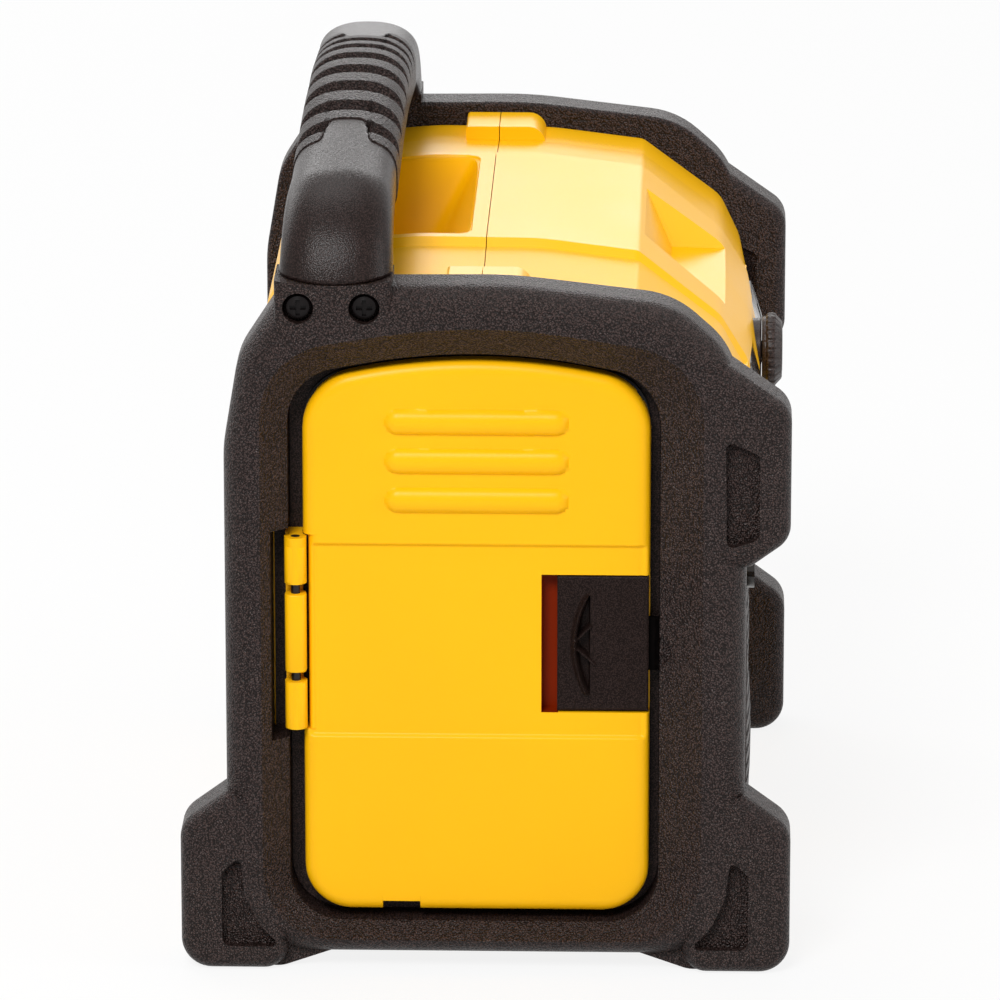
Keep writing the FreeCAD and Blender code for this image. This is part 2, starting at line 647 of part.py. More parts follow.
def hinge_leaf():
    """The fixed half of the hinge: a leaf on the bay's flange with two knuckles."""
    x = -HINGE_X
    leaf = box((FLANGE_OUT, DOOR_FACE - 5.5), (DOOR_REAR + 0.4, HINGE_Y + 3.4), (HINGE_LOW, HINGE_HIGH))
    solids = []
    for low, high in ((HINGE_LOW, 97.0), (130.0, HINGE_HIGH)):
        solids.append(rod(KNUCKLE_R, V(x, HINGE_Y, low), V(x, HINGE_Y, high)))
        solids.append(box((DOOR_FACE - 6, x), (HINGE_Y - 2.2, HINGE_Y + 2.2), (low, high)))
    leaf = leaf.fuse(solids).removeSplitter()
    return leaf.cut(rod(PIN_R, V(x, HINGE_Y, HINGE_LOW - 1), V(x, HINGE_Y, HINGE_HIGH + 1)))


def storage_bay():
    """The tub behind the door: flange, clamped rim, walls, shelf and the socket holes."""
    flange = slab(opening_outline(DOOR_FRONT - DOOR_GAP + CLEAR, DOOR_REAR + 4.7 - CLEAR,
                                  DOOR_LOW - 3 + CLEAR, DOOR_HIGH + 2.4 - CLEAR, 16.7),
                  yz(FRAME_IN), V(FLANGE_OUT - FRAME_IN, 0, 0))
    rim = slab(rim_outline(0), yz(FRAME_IN), V(RIM_T, 0, 0))
    tub = box((BAY_INNER - BAY_WALL, FRAME_IN + 0.5), (BAY_FRONT - BAY_WALL, BAY_REAR + BAY_WALL),
              (BAY_LOW - BAY_WALL, BAY_HIGH + BAY_WALL))
    inside = slab([(BAY_FRONT, BAY_LOW, 8), (BAY_REAR, BAY_LOW, 8), (BAY_REAR, BAY_HIGH, 8),
                   (BAY_FRONT, BAY_HIGH, 8)], yz(BAY_INNER), V(40, 0, 0))
    shelf = box((BAY_INNER - 0.5, BAY_INNER + 7), (BAY_FRONT - 1, BAY_REAR + 1), (60, 62.5))
    cutters = [rod(4.1, V(95, JACK_Y, SOCKET_Z), V(110, JACK_Y, SOCKET_Z)),
               box((95, 110), (USB_Y - 7.3, USB_Y + 7.3), (SOCKET_Z - 3.8, SOCKET_Z + 3.8)),
               rod(CELL_R + 0.6, V(BAY_INNER - 1.2, CELL_Y, SOCKET_Z), V(115, CELL_Y, SOCKET_Z))]
    for y in JACK_BOARD_SCREWS:
        cutters.append(rod(1.0, V(95, y, SOCKET_Z), V(BAY_INNER - 0.8, y, SOCKET_Z)))
    posts = [rod(2.5, V(JACK_BOARD_X, y, SOCKET_Z), V(BAY_INNER - 1, y, SOCKET_Z)) for y in JACK_BOARD_SCREWS]
    bay = flange.fuse([tub, rim] + posts).cut(inside).fuse(shelf).removeSplitter()
    return bay.cut(cutters)


def door_seal():
    """The soft ring that the closed door's edge rests beside."""
    outer = slab(inset_outline(door_outline(0), 0.4), yz(FLANGE_OUT), V(2.7, 0, 0))
    inner = slab(inset_outline(door_outline(0), 3.6), yz(FLANGE_OUT - 1), V(6, 0, 0))
    keep = box((100, 140), (DOOR_REAR - 1.6, 80), (HINGE_LOW - 0.5, HINGE_HIGH + 0.5))
    return outer.cut([inner, keep])


def right_end_panel():
    """The fixed panel in the right end, with its carrier flange."""
    back = FRAME_IN
    panel = door_plate(back)
    screws = []
    for y, z in PANEL_SCREWS:
        boss = rod(4.2, V(back, y, z), V(DOOR_FACE - 2, y, z))
        panel = panel.fuse(boss)
        screws += [rod(1.9, V(back - 1, y, z), V(DOOR_FACE + 1, y, z)),
                   rod(3.8, V(DOOR_FACE - 2.5, y, z), V(DOOR_FACE + 1, y, z))]
    return panel.cut(screws)


FLANGE_OUT = FRAME_IN + 2.5
SOCKET_Z = 42.0
JACK_Y = -30.0
USB_Y = -5.0
CELL_Y = 30.0
CELL_R = 12.0
JACK_BOARD_SCREWS = (-42.0, 9.0)
RIM_T = 1.2
PANEL_SCREWS = [(-43, 29), (49, 29), (-43, 186), (49, 186)]


# Handle

def handle_profile(inset):
    """The handle's (X, Z) side outline, made smaller all round by an inset."""
    out, inn = LEG_OUT - inset, LEG_IN + inset
    top, under = HEIGHT + 4.14 - inset, HEIGHT - GRIP_T + 4.0 + inset
    low = LEG_SEAT - 14
    return [
        (-out, low, 0), (-out, top - 16.4, 41 - inset), (0, top, 580 - inset),
        (out, top - 16.4, 41 - inset), (out, low, 0), (inn, low, 0),
        (inn, under - 14.6, 22 + inset), (0, under, 560), (-inn, under - 14.6, 22 + inset),
        (-inn, low, 0),
    ]


def outer_run(edge):
    """Whether an edge runs along the handle's outer side, over the top and down both legs."""
    spot = edge.CenterOfMass
    box_of = edge.BoundBox
    along_depth = box_of.YLength > 1
    on_leg = abs(spot.x) > LEG_OUT - GRIP_SKIN - 1 and spot.z > LEG_SEAT - 16
    on_top = spot.z > HEIGHT - 18 and abs(spot.x) < LEG_IN + GRIP_SKIN + 14
    return not along_depth and (on_leg or on_top)


def handle_solid(inset):
    """The handle with its long outer edges rounded and its sides drawn in towards the top."""
    front, rear = LEG_FRONT + inset, LEG_REAR - inset
    bar = slab(handle_profile(inset), xz(front), V(0, rear - front, 0))
    bar = bar.makeFillet(14.0 - inset, [e for e in bar.Edges if outer_run(e)])
    side = [(front, 200, 0), (rear, 200, 0), (rear, LEG_SEAT + 6, 0), (GRIP_REAR - inset, LEG_SEAT + 30, 0),
            (GRIP_REAR - inset, 300, 0), (GRIP_FRONT + inset, 300, 0), (GRIP_FRONT + inset, LEG_SEAT + 30, 0),
            (front, LEG_SEAT + 6, 0)]
    return bar.common(slab(side, yz(-200), V(400, 0, 0)))


def grip_zone():
    """The stretch of the handle that carries the soft grip, above its side ledges."""
    outline = handle_profile(0)
    under = [(x, z - 1.0, r) for x, z, r in outline]
    top = HEIGHT + 3.9 - 18.5
    band = [(-GRIP_HALF, top - 9.0, 0), (0, top, 580), (GRIP_HALF, top - 9.0, 0), (GRIP_HALF, 300, 0),
            (-GRIP_HALF, 300, 0)]
    return slab(band, xz(0), V(0, 100, 0))


def handle_parts():
    """The handle bar and the ribbed soft grip moulded over it."""
    whole = handle_solid(0)
    core = handle_solid(GRIP_SKIN)
    zone = grip_zone()
    grip = whole.common(zone).cut(core)
    bar = whole.cut(grip)
    seat = handle_seat()
    bar = bar.cut(seat)
    tongues = []
    for s in (-1, 1):
        piece = tongue(0).cut(rod(1.7, V(FRAME_IN, BOSS_SCREW_Y[0], BOSS_SCREW_Z),
                                  V(FRAME_OUT, BOSS_SCREW_Y[0], BOSS_SCREW_Z)))
        piece = piece.cut(rod(1.7, V(FRAME_IN, BOSS_SCREW_Y[1], BOSS_SCREW_Z),
                              V(FRAME_OUT, BOSS_SCREW_Y[1], BOSS_SCREW_Z)))
        tongues.append(piece if s > 0 else mirrored(piece))
    bar = bar.fuse(tongues).removeSplitter()
    shallow = handle_solid(GROOVE_DEPTH)
    grooves = []
    for i in range(-4, 5):
        if i in (-4, 4):
            continue
        x = (i + (0.5 if i < 0 else -0.5)) * GROOVE_PITCH if i else None
        if x is not None:
            grooves.append(box((x - GROOVE_WIDTH / 2, x + GROOVE_WIDTH / 2), (20, 80), (240, 290)))
    for s in (-1, 1):
        x = s * 3.5 * GROOVE_PITCH
        for y in ((20, 41), (53, 80)):
            grooves.append(box((x - GROOVE_WIDTH / 2, x + GROOVE_WIDTH / 2), y, (240, 290)))
    rim = HEIGHT - 15.0
    above = box((-200, 200), (0, 100), (rim, 300))
    cutters = [g.common(above).cut(shallow) for g in grooves]
    grip = grip.cut(cutters)
    return bar, grip


def handle_seat():
    """Everything below the curved joint between the handle's legs and the frames."""
    ends = LEG_SEAT + 1.5 + CLEAR
    arc = Part.Arc(V(-200, BOSS_FRONT, ends), V(-200, 48, LEG_SEAT + CLEAR), V(-200, BOSS_REAR, ends))
    points = [V(-200, BOSS_REAR, ends), V(-200, BOSS_REAR + 5, ends), V(-200, BOSS_REAR + 5, 190),
              V(-200, BOSS_FRONT - 5, 190), V(-200, BOSS_FRONT - 5, ends), V(-200, BOSS_FRONT, ends)]
    sides = [Part.LineSegment(points[i], points[i + 1]).toShape() for i in range(5)]
    return Part.Face(Part.Wire([arc.toShape()] + sides)).extrude(V(400, 0, 0))


def pan_screw(head_r, head_h, shank_r, length, seat, along):
    """A pan-head screw: its head stands on the seat and its shank goes against the vector."""
    profile = [(0, -length), (shank_r * 0.6, -length), (shank_r, -length + shank_r), (shank_r, 0),
               (head_r, 0), (head_r, head_h * 0.35), (head_r * 0.8, head_h * 0.8),
               (head_r * 0.45, head_h), (0, head_h)]
    return turned(profile, seat, along)


def group(solids):
    """Separate solids kept in one node."""
    return Part.makeCompound(solids)


# Control panel, display, buttons and knob

def control_panel():
    """The curved front panel with its button holes, window rebate and notch for the neck."""
    profile = [
        (-85.2, PANEL_HIGH, 1), (-90, 167, 8), (PANEL_FACE, 150, 8), (PANEL_FACE, PANEL_LOW, 1.5),
        (PANEL_SEAT, PANEL_LOW, 0), (PANEL_SEAT, PANEL_HIGH, 0),
    ]
    panel = slab(profile, yz(-PANEL_X), V(2 * PANEL_X, 0, 0))
    panel = panel.common(slab(panel_outline(0), xz(-100), V(0, 30, 0)))
    cutters = [rod(NECK_R + CLEAR, V(0, -95, KNOB_Z), V(0, -70, KNOB_Z))]
    for x, z in BUTTONS.values():
        cutters.append(button_hole(x, z))
    cutters.append(box((-WINDOW_X, WINDOW_X), (-95, WINDOW_SEAT), (WINDOW_LOW, WINDOW_HIGH)))
    cutters.append(box((2 - WINDOW_X, WINDOW_X - 2), (-95, -80), (WINDOW_LOW + 2, WINDOW_HIGH - 2)))
    for x, z in PANEL_CLIPS:
        cutters.append(rod(1.7, V(x, -95, z), V(x, -80, z)))
        cutters.append(rod(3.2, V(x, -95, z), V(x, PANEL_SEAT - 1.6, z)))
    return panel.cut(cutters)


def button_hole(x, z):
    """The panel hole for one button, one clearance larger than its cap."""
    half_w, half_h = BUTTON_W / 2 + CLEAR, BUTTON_H / 2 + CLEAR
    outline = [(x - half_w, z - half_h, 2), (x + half_w, z - half_h, 2), (x + half_w, z + half_h, 2),
               (x - half_w, z + half_h, 2)]
    return slab(outline, xz(-95), V(0, 20, 0))


def button(place):
    """One push button: rounded cap and the flange that keeps it behind the panel."""
    x, z = place
    half_w, half_h = BUTTON_W / 2, BUTTON_H / 2
    outline = [(x - half_w, z - half_h, 1.7), (x + half_w, z - half_h, 1.7), (x + half_w, z + half_h, 1.7),
               (x - half_w, z + half_h, 1.7)]
    front = PANEL_FACE - BUTTON_PROUD
    cap = slab(outline, xz(front), V(0, PANEL_SEAT + CLEAR + 0.5 - front, 0))
    rim = [e for e in cap.Edges if abs(e.BoundBox.YMax - front) < 1e-4]
    cap = cap.makeFillet(0.8, rim)
    flange = box((x - half_w - 1, x + half_w + 1), (PANEL_SEAT + CLEAR, PANEL_SEAT + CLEAR + 1),
                 (z - half_h - 1, z + half_h + 1))
    return cap.fuse(flange).removeSplitter()


def display_window():
    """The clear window over the display."""
    pane = box((CLEAR / 2 - WINDOW_X, WINDOW_X - CLEAR / 2), (WINDOW_SEAT - 2, WINDOW_SEAT),
               (WINDOW_LOW + CLEAR / 2, WINDOW_HIGH - CLEAR / 2))
    return pane.makeChamfer(0.4, [e for e in pane.Edges if abs(e.BoundBox.YMax - WINDOW_SEAT + 2) < 1e-4])


def display_module():
    """The display block behind the window."""
    return box((-32, 32), (PANEL_SEAT + CLEAR, -79.4), (124, 146))


def button_pad():
    """The soft pad between the buttons and the board."""
    pad = box((-52, 52), (-81.4, -79.4), (111, 147.6))
    domes = [rod(3, V(x, -81.6, z), V(x, -81, z)) for x, z in BUTTONS.values()]
    return pad.cut(box((-35, 35), (-83, -78), (122, 149))).fuse(domes)


def main_board():
    """The main circuit board behind the control panel."""
    board = box((-64, 64), (BOARD_Y, BOARD_Y + 1.6), (108, 180))
    holes = [rod(1.4, V(x, -90, z), V(x, -70, z)) for x, z in BOARD_SCREWS]
    chips = [box((-30, -14), (BOARD_Y + 1.6, BOARD_Y + 3.6), (128, 144)),
             box((10, 22), (BOARD_Y + 1.6, BOARD_Y + 3.4), (118, 130)),
             box((30, 52), (BOARD_Y + 1.6, BOARD_Y + 9.6), (150, 164))]
    return board.cut(holes).fuse(chips)


def tuning_knob():
    """The round knob: chamfered cap, fluted side, pointer groove and blind bore."""
    base = V(0, KNOB_BACK, KNOB_Z)
    height = KNOB_BACK - KNOB_FRONT
    profile = [
        (0, 0), (KNOB_R, 0), (KNOB_R, height - 2.6), (KNOB_R - 2.2, height - 0.5),
        (KNOB_R - 3.4, height), (5, height - 0.5), (0, height - 0.6),
    ]
    knob = turned(profile, base, V(0, -1, 0))
    cutters = []
    for i in range(24):
        angle = math.radians(15 * i + 7.5)
        x, z = (KNOB_R + 0.9) * math.cos(angle), (KNOB_R + 0.9) * math.sin(angle)
        cutters.append(rod(1.5, V(x, KNOB_BACK - 1, KNOB_Z + z), V(x, KNOB_FRONT - 1, KNOB_Z + z)))
    cutters.append(box((-0.6, 0.6), (KNOB_FRONT - 1, KNOB_FRONT + 1.1), (KNOB_Z + 4, KNOB_Z + 11)))
    cutters.append(rod(SHAFT_R, V(0, -94, KNOB_Z), V(0, -80, KNOB_Z)))
    return knob.cut(cutters)


def knob_shaft():
    """The knob's shaft, pressed into the knob and running in the encoder."""
    return rod(SHAFT_R, V(0, -94, KNOB_Z), V(0, -80, KNOB_Z))


def knob_encoder():
    """The fixed encoder body with the shaft's bearing bore."""
    body = box((-6.5, 6.5), (-85.5, BOARD_Y), (KNOB_Z - 6.5, KNOB_Z + 6.5))
    return body.cut(rod(SHAFT_R + RUN_CLEAR, V(0, -90, KNOB_Z), V(0, -70, KNOB_Z)))


# Speakers

def speaker_grille():
    """The right speaker's domed grille with two columns of slots and a ring."""
    at = V(SPEAKER_X, GRILLE_BACK, SPEAKER_Z)
    profile = [
        (GRILLE_R, 0), (GRILLE_R, 2.6), (GRILLE_R - 1.5, 3.8), (GRILLE_R - 5, 3.4), (GRILLE_R - 6, 2.6),
        (30, 3.9), (20, 4.7), (10, 5.2), (0, 5.4), (0, 3.4), (10, 3.2), (20, 2.7), (30, 1.9),
        (GRILLE_R - 6, 0.6), (GRILLE_R - 6, 0),
    ]
    grille = turned(profile, at, V(0, -1, 0))
    cutters = []
    for i in range(GRILLE_SLOTS):
        z = (i - (GRILLE_SLOTS - 1) / 2) * GRILLE_PITCH
        reach = math.sqrt((GRILLE_R - 9) ** 2 - z * z)
        for side in (-1, 1):
            near, far = SPEAKER_X + side * 1.6, SPEAKER_X + side * reach
            cutters.append(slab([(near, SPEAKER_Z + z - 1.3, 1.2), (far, SPEAKER_Z + z - 1.3, 1.2),
                                 (far, SPEAKER_Z + z + 1.3, 1.2), (near, SPEAKER_Z + z + 1.3, 1.2)]
                                if side > 0 else
                                [(far, SPEAKER_Z + z - 1.3, 1.2), (near, SPEAKER_Z + z - 1.3, 1.2),
                                 (near, SPEAKER_Z + z + 1.3, 1.2), (far, SPEAKER_Z + z + 1.3, 1.2)],
                                xz(-95), V(0, 20, 0)))
    return grille.cut(cutters)


def speaker_basket():
    """The right speaker's steel basket with four windows and its screw holes."""
    at = V(SPEAKER_X, SPEAKER_SEAT + 0.05, SPEAKER_Z)
    profile = [
        (BASKET_R, 0), (BASKET_R, 1.6), (35.5, 1.6), (24, 25), (MAGNET_R - 2, 26), (8, 26), (8, 24.4),
        (21, 24.4), (22.8, 23.4), (33.8, 1), (33.8, 0),
    ]
    basket = turned(profile, at, V(0, 1, 0))
    cutters = []
    for i in range(4):
        angle = math.radians(90 * i)
        toward = V(math.cos(angle), 0, math.sin(angle))
        window = rod(7, at + V(0, 12.5, 0) + toward * 15, at + V(0, 12.5, 0) + toward * 45)
        cutters.append(window)
    for x, z in SPEAKER_SCREWS:
        cutters.append(rod(1.5, at + V(x, -1, z), at + V(x, 4, z)))
    return basket.cut(cutters)


def speaker_cone():
    """The right speaker's cone with its rolled surround and dust cap."""
    at = V(SPEAKER_X, SPEAKER_SEAT + 0.05, SPEAKER_Z)
    profile = [
        (33.5, -0.4), (33.5, 0.9), (32, 0.6), (30.4, -0.6), (CONE_R, 0.8), (12, 14), (11, 18), (11, 23),
        (9.5, 23), (9.5, 12.5), (8, 9.5), (4, 8), (0, 7.5), (0, 6.7), (4.2, 7.2), (8.6, 8.8), (11, 12.4),
        (CONE_R - 0.6, -0.3), (30.4, -1.5), (32.4, -0.4),
    ]
    return turned(profile, at, V(0, 1, 0))


def speaker_magnet():
    """The right speaker's magnet and back plate."""
    at = V(SPEAKER_X, SPEAKER_SEAT + 0.05 + 26, SPEAKER_Z)
    profile = [
        (6, 0), (MAGNET_R, 0), (MAGNET_R, 8.5), (MAGNET_R - 1, 9), (MAGNET_R - 1, 11), (MAGNET_R - 2.5, 12.5),
        (6, 12.5),
    ]
    return turned(profile, at, V(0, 1, 0))


# Rear: battery dock, inlet and power parts

def battery_dock():
    """The dock tray with its flange, side rails and the power board's posts."""
    tray = box((-DOCK_X, DOCK_X), (DOCK_FRONT, 85.5), (DOCK_LOW, DOCK_HIGH))
    flange = slab([(-DOCK_X - 7, DOCK_LOW - 7, 5), (DOCK_X + 7, DOCK_LOW - 7, 5),
                   (DOCK_X + 7, DOCK_HIGH + 7, 5), (-DOCK_X - 7, DOCK_HIGH + 7, 5)],
                  xz(DOCK_SEAT), V(0, 2.2, 0))
    cavity = slab([(3 - DOCK_X, DOCK_LOW + 3, 4), (DOCK_X - 3, DOCK_LOW + 3, 4),
                   (DOCK_X - 3, DOCK_HIGH - 3, 4), (3 - DOCK_X, DOCK_HIGH - 3, 4)],
                  xz(DOCK_FRONT + 3), V(0, 50, 0))
    rails = [box((s * (DOCK_X - 7), s * (DOCK_X - 2.5)), (68, 72), (DOCK_LOW + 22, DOCK_HIGH - 2))
             for s in (-1, 1)]
    posts = [rod(3, V(x, POWER_BOARD_Y + 1.6, z), V(x, DOCK_FRONT + 1, z)) for x, z in POWER_SCREWS]
    dock = tray.fuse([flange] + posts).cut(cavity).fuse(rails)
    cutters = [rod(1.6, V(x, 80, z), V(x, 90, z)) for x, z in DOCK_SCREWS]
    cutters += [rod(1.0, V(x, POWER_BOARD_Y, z), V(x, DOCK_FRONT + 2, z)) for x, z in POWER_SCREWS]
    cutters.append(box((-15, 15), (DOCK_FRONT - 1, DOCK_FRONT + 4), (CONTACT_Z - 7, CONTACT_Z + 7)))
    return dock.cut(cutters)


def terminal_block():
    """The block that carries the dock's contacts."""
    plate = box((-18, 18), (DOCK_FRONT + 3, DOCK_FRONT + 6), (CONTACT_Z - 10, CONTACT_Z + 10))
    plug = box((-14.8, 14.8), (DOCK_FRONT - 3, DOCK_FRONT + 9), (CONTACT_Z - 6.8, CONTACT_Z + 6.8))
    deep = (DOCK_FRONT - 4, DOCK_FRONT + 12)
    slots = [box((x - 0.5, x + 0.5), deep, (CONTACT_Z - 5, CONTACT_Z + 5)) for x in CONTACTS]
    return plate.fuse(plug).removeSplitter().cut(slots)


def dock_contacts():
    """The dock's flat contact blades."""
    deep = (DOCK_FRONT - 4, DOCK_FRONT + 16)
    return group([box((x - 0.45, x + 0.45), deep, (CONTACT_Z - 4.95, CONTACT_Z + 4.95)) for x in CONTACTS])


def power_inlet():
    """The mains inlet: flange and shell round a deep recess."""
    y = DOCK_SEAT
    shell = slab([(INLET_X - 11, INLET_Z - 7, 2), (INLET_X + 11, INLET_Z - 7, 2),
                  (INLET_X + 11, INLET_Z + 7, 2), (INLET_X - 11, INLET_Z + 7, 2)],
                 xz(y - 18), V(0, 18.5, 0))
    rim = slab([(INLET_X - 14, INLET_Z - 9.5, 3), (INLET_X + 14, INLET_Z - 9.5, 3),
                (INLET_X + 14, INLET_Z + 9.5, 3), (INLET_X - 14, INLET_Z + 9.5, 3)],
               xz(y), V(0, 1.6, 0))
    recess = slab([(INLET_X - 9, INLET_Z - 5, 4.5), (INLET_X + 9, INLET_Z - 5, 4.5),
                   (INLET_X + 9, INLET_Z + 5, 4.5), (INLET_X - 9, INLET_Z + 5, 4.5)],
                  xz(y - 14), V(0, 30, 0))
    pins = [rod(1.2, V(INLET_X + s * 4.3, y - 25, INLET_Z), V(INLET_X + s * 4.3, y, INLET_Z))
            for s in (-1, 1)]
    return shell.fuse(rim).removeSplitter().cut([recess] + pins)


def inlet_pins():
    """The inlet's two contact pins."""
    y = DOCK_SEAT
    return group([rod(1.15, V(INLET_X + s * 4.3, y - 23, INLET_Z), V(INLET_X + s * 4.3, y - 3, INLET_Z))
                  for s in (-1, 1)])


def transformer():
    """The laminated transformer on the floor."""
    core = box((-30, 30), (-32, -2), (BODY_LOW + WALL + 0.1, 50))
    coil = box((-18, 18), (-40, 1), (18, 42))
    return core.fuse(coil).removeSplitter()


def power_board():
    """The power board in front of the dock."""
    board = box((-45, 45), (POWER_BOARD_Y, POWER_BOARD_Y + 1.6), (DOCK_LOW + 3, DOCK_HIGH - 3))
    holes = [rod(1.3, V(x, 40, z), V(x, 60, z)) for x, z in POWER_SCREWS]
    tall = [rod(8, V(-24, POWER_BOARD_Y, 96), V(-24, POWER_BOARD_Y - 20, 96)),
            rod(5, V(-4, POWER_BOARD_Y, 104), V(-4, POWER_BOARD_Y - 14, 104))]
    return board.cut(holes).fuse(tall)


def heat_sink():
    """The finned cooler on the power board."""
    y = POWER_BOARD_Y - 0.05
    base = box((8, 40), (y - 3, y), (84, 126))
    fins = [box((8 + i * 5.0, 10 + i * 5.0), (y - 17, y - 2), (84, 126)) for i in range(7)]
    return base.fuse(fins).removeSplitter()


def ferrite_antenna():
    """The ferrite rod with its winding."""
    stick = rod(FERRITE_R, V(-52, -20, FERRITE_Z), V(52, -20, FERRITE_Z))
    return stick.fuse(rod(FERRITE_R + 1.2, V(-14, -20, FERRITE_Z), V(14, -20, FERRITE_Z)))


# Sockets in the bay's inner wall (drawn for the right end and mirrored)

def jack_board():
    """The small board behind the sockets."""
    board = box((97.0, JACK_BOARD_X), (-46, 13), (33, 51))
    holes = [rod(1.2, V(90, y, SOCKET_Z), V(105, y, SOCKET_Z)) for y in JACK_BOARD_SCREWS]
    return board.cut(holes)


def aux_jack():
    """The headphone-size jack socket."""
    body = box((JACK_BOARD_X, BAY_INNER - BAY_WALL - 0.1), (JACK_Y - 6, JACK_Y + 6),
               (SOCKET_Z - 6, SOCKET_Z + 6))
    barrel = rod(3.9, V(JACK_BOARD_X, JACK_Y, SOCKET_Z), V(BAY_INNER + 0.6, JACK_Y, SOCKET_Z))
    bore = rod(1.8, V(JACK_BOARD_X + 1, JACK_Y, SOCKET_Z), V(120, JACK_Y, SOCKET_Z))
    return body.fuse(barrel).removeSplitter().cut(bore)


def usb_socket():
    """The charging socket with its tongue."""
    shell = box((JACK_BOARD_X, BAY_INNER + 0.4), (USB_Y - 7, USB_Y + 7), (SOCKET_Z - 3.5, SOCKET_Z + 3.5))
    hollow = box((JACK_BOARD_X + 1, 110), (USB_Y - 6, USB_Y + 6), (SOCKET_Z - 2.5, SOCKET_Z + 2.5))
    blade = box((JACK_BOARD_X + 0.5, BAY_INNER), (USB_Y - 5.2, USB_Y + 5.2), (SOCKET_Z - 0.2, SOCKET_Z + 1.4))
    return shell.cut(hollow).fuse(blade)


def clock_cell():
    """The coin cell of the clock."""
    cell = rod(10, V(BAY_INNER - 1.1, CELL_Y, SOCKET_Z), V(BAY_INNER + 2.1, CELL_Y, SOCKET_Z))
    return cell


def cell_cover():
    """The round cover over the coin cell, with a coin slot."""
    cover = rod(CELL_R + 0.4, V(BAY_INNER - 1.1, CELL_Y, SOCKET_Z), V(BAY_INNER + 3.6, CELL_Y, SOCKET_Z))
    room = rod(10.2, V(BAY_INNER - 2, CELL_Y, SOCKET_Z), V(BAY_INNER + 2.3, CELL_Y, SOCKET_Z))
    slot = box((BAY_INNER + 2.8, BAY_INNER + 5), (CELL_Y - 7, CELL_Y + 7), (SOCKET_Z - 0.9, SOCKET_Z + 0.9))
    return cover.cut([room, slot])


# Fasteners, each kind as one node

def handle_screws():
    """The four screws that hold the handle's legs, seen in the frames' top corners."""
    seat = FRAME_OUT - 4
    solids = []
    for side in (-1, 1):
        for y in BOSS_SCREW_Y:
            screw = pan_screw(4.6, 2.9, 1.65, 12, V(side * seat, y, BOSS_SCREW_Z), V(side, 0, 0))
            cross = [box((-0.7, 0.7), (-2.6, 2.6), (1.6, 5)), box((-2.6, 2.6), (-0.7, 0.7), (1.6, 5))]
            for c in cross:
                c.Placement = FreeCAD.Placement(V(side * seat, y, BOSS_SCREW_Z),
                                                FreeCAD.Rotation(V(0, 0, 1), V(side, 0, 0)))
            solids.append(screw.cut(cross))
    return group(solids)


def frame_screws():
    """The eight screws that pull the end frames onto the body from inside."""
    seat = BODY_X - WALL
    return group([pan_screw(3.6, 2.4, 2.0, 15, V(s * seat, y, z), V(-s, 0, 0))
                  for s in (-1, 1) for y, z in FRAME_SCREWS])


def housing_screws():
    """The four long screws that join the shells from the rear."""
    seat = V(0, HOUSING_SEAT, 0)
    return group([pan_screw(3.4, 2.4, 1.55, 90, seat + V(x, 0, z), V(0, 1, 0)) for x, z in HOUSING_SCREWS])


def dock_screws():
    """The four screws of the dock's flange."""
    seat = DOCK_SEAT + 2.2
    return group([pan_screw(2.8, 1.7, 1.15, 5.5, V(x, seat, z), V(0, 1, 0)) for x, z in DOCK_SCREWS])


def speaker_screws():
    """The eight screws of the two speaker baskets."""
    seat = SPEAKER_SEAT + 1.65
    return group([pan_screw(2.5, 1.6, 1.05, 3.9, V(s * SPEAKER_X + x, seat, SPEAKER_Z + z), V(0, 1, 0))
                  for s in (-1, 1) for x, z in SPEAKER_SCREWS])


def board_screws():
    """The eight screws of the main board and the power board."""
    solids = [pan_screw(2.4, 1.6, 1.05, 5.4, V(x, BOARD_Y + 1.6, z), V(0, 1, 0)) for x, z in BOARD_SCREWS]
    solids += [pan_screw(2.4, 1.6, 0.95, 7, V(x, POWER_BOARD_Y, z), V(0, -1, 0)) for x, z in POWER_SCREWS]
    return group(solids)


def panel_screws():
    """The four screws of the right end panel."""
    seat = DOOR_FACE - 2.5
    return group([pan_screw(3.4, 2.2, 1.6, 17, V(seat, y, z), V(1, 0, 0)) for y, z in PANEL_SCREWS])


def trim_screws():
    """The four small screws of the control panel."""
    seat = PANEL_SEAT - 1.6
    return group([pan_screw(2.8, 1.3, 1.3, 5, V(x, seat, z), V(0, -1, 0)) for x, z in PANEL_CLIPS])


PANEL_CLIPS = [(-54, 172), (54, 172), (-54, 113), (54, 113)]
WINDOW_SEAT = -85.2
BUTTONS = {
    "power_button": (-46, 141), "mode_button": (-46, 129), "seek_up_button": (46, 141),
    "seek_down_button": (46, 129), "preset_1_button": (-36, 115.5), "preset_2_button": (-12, 115.5),
    "preset_3_button": (12, 115.5), "preset_4_button": (36, 115.5),
}
GRILLE_SLOTS = 12
GRILLE_PITCH = 5.2
DOCK_FRONT = 52.0
DOCK_SEAT = BODY_REAR + 0.05
POWER_BOARD_Y = 44.0
POWER_SCREWS = [(-35, DOCK_LOW + 8), (35, DOCK_LOW + 8), (-35, DOCK_HIGH - 8), (35, DOCK_HIGH - 8)]
CONTACTS = (-9.0, 0.0, 9.0)
CONTACT_Z = DOCK_LOW + 14.0
JACK_BOARD_X = 98.6


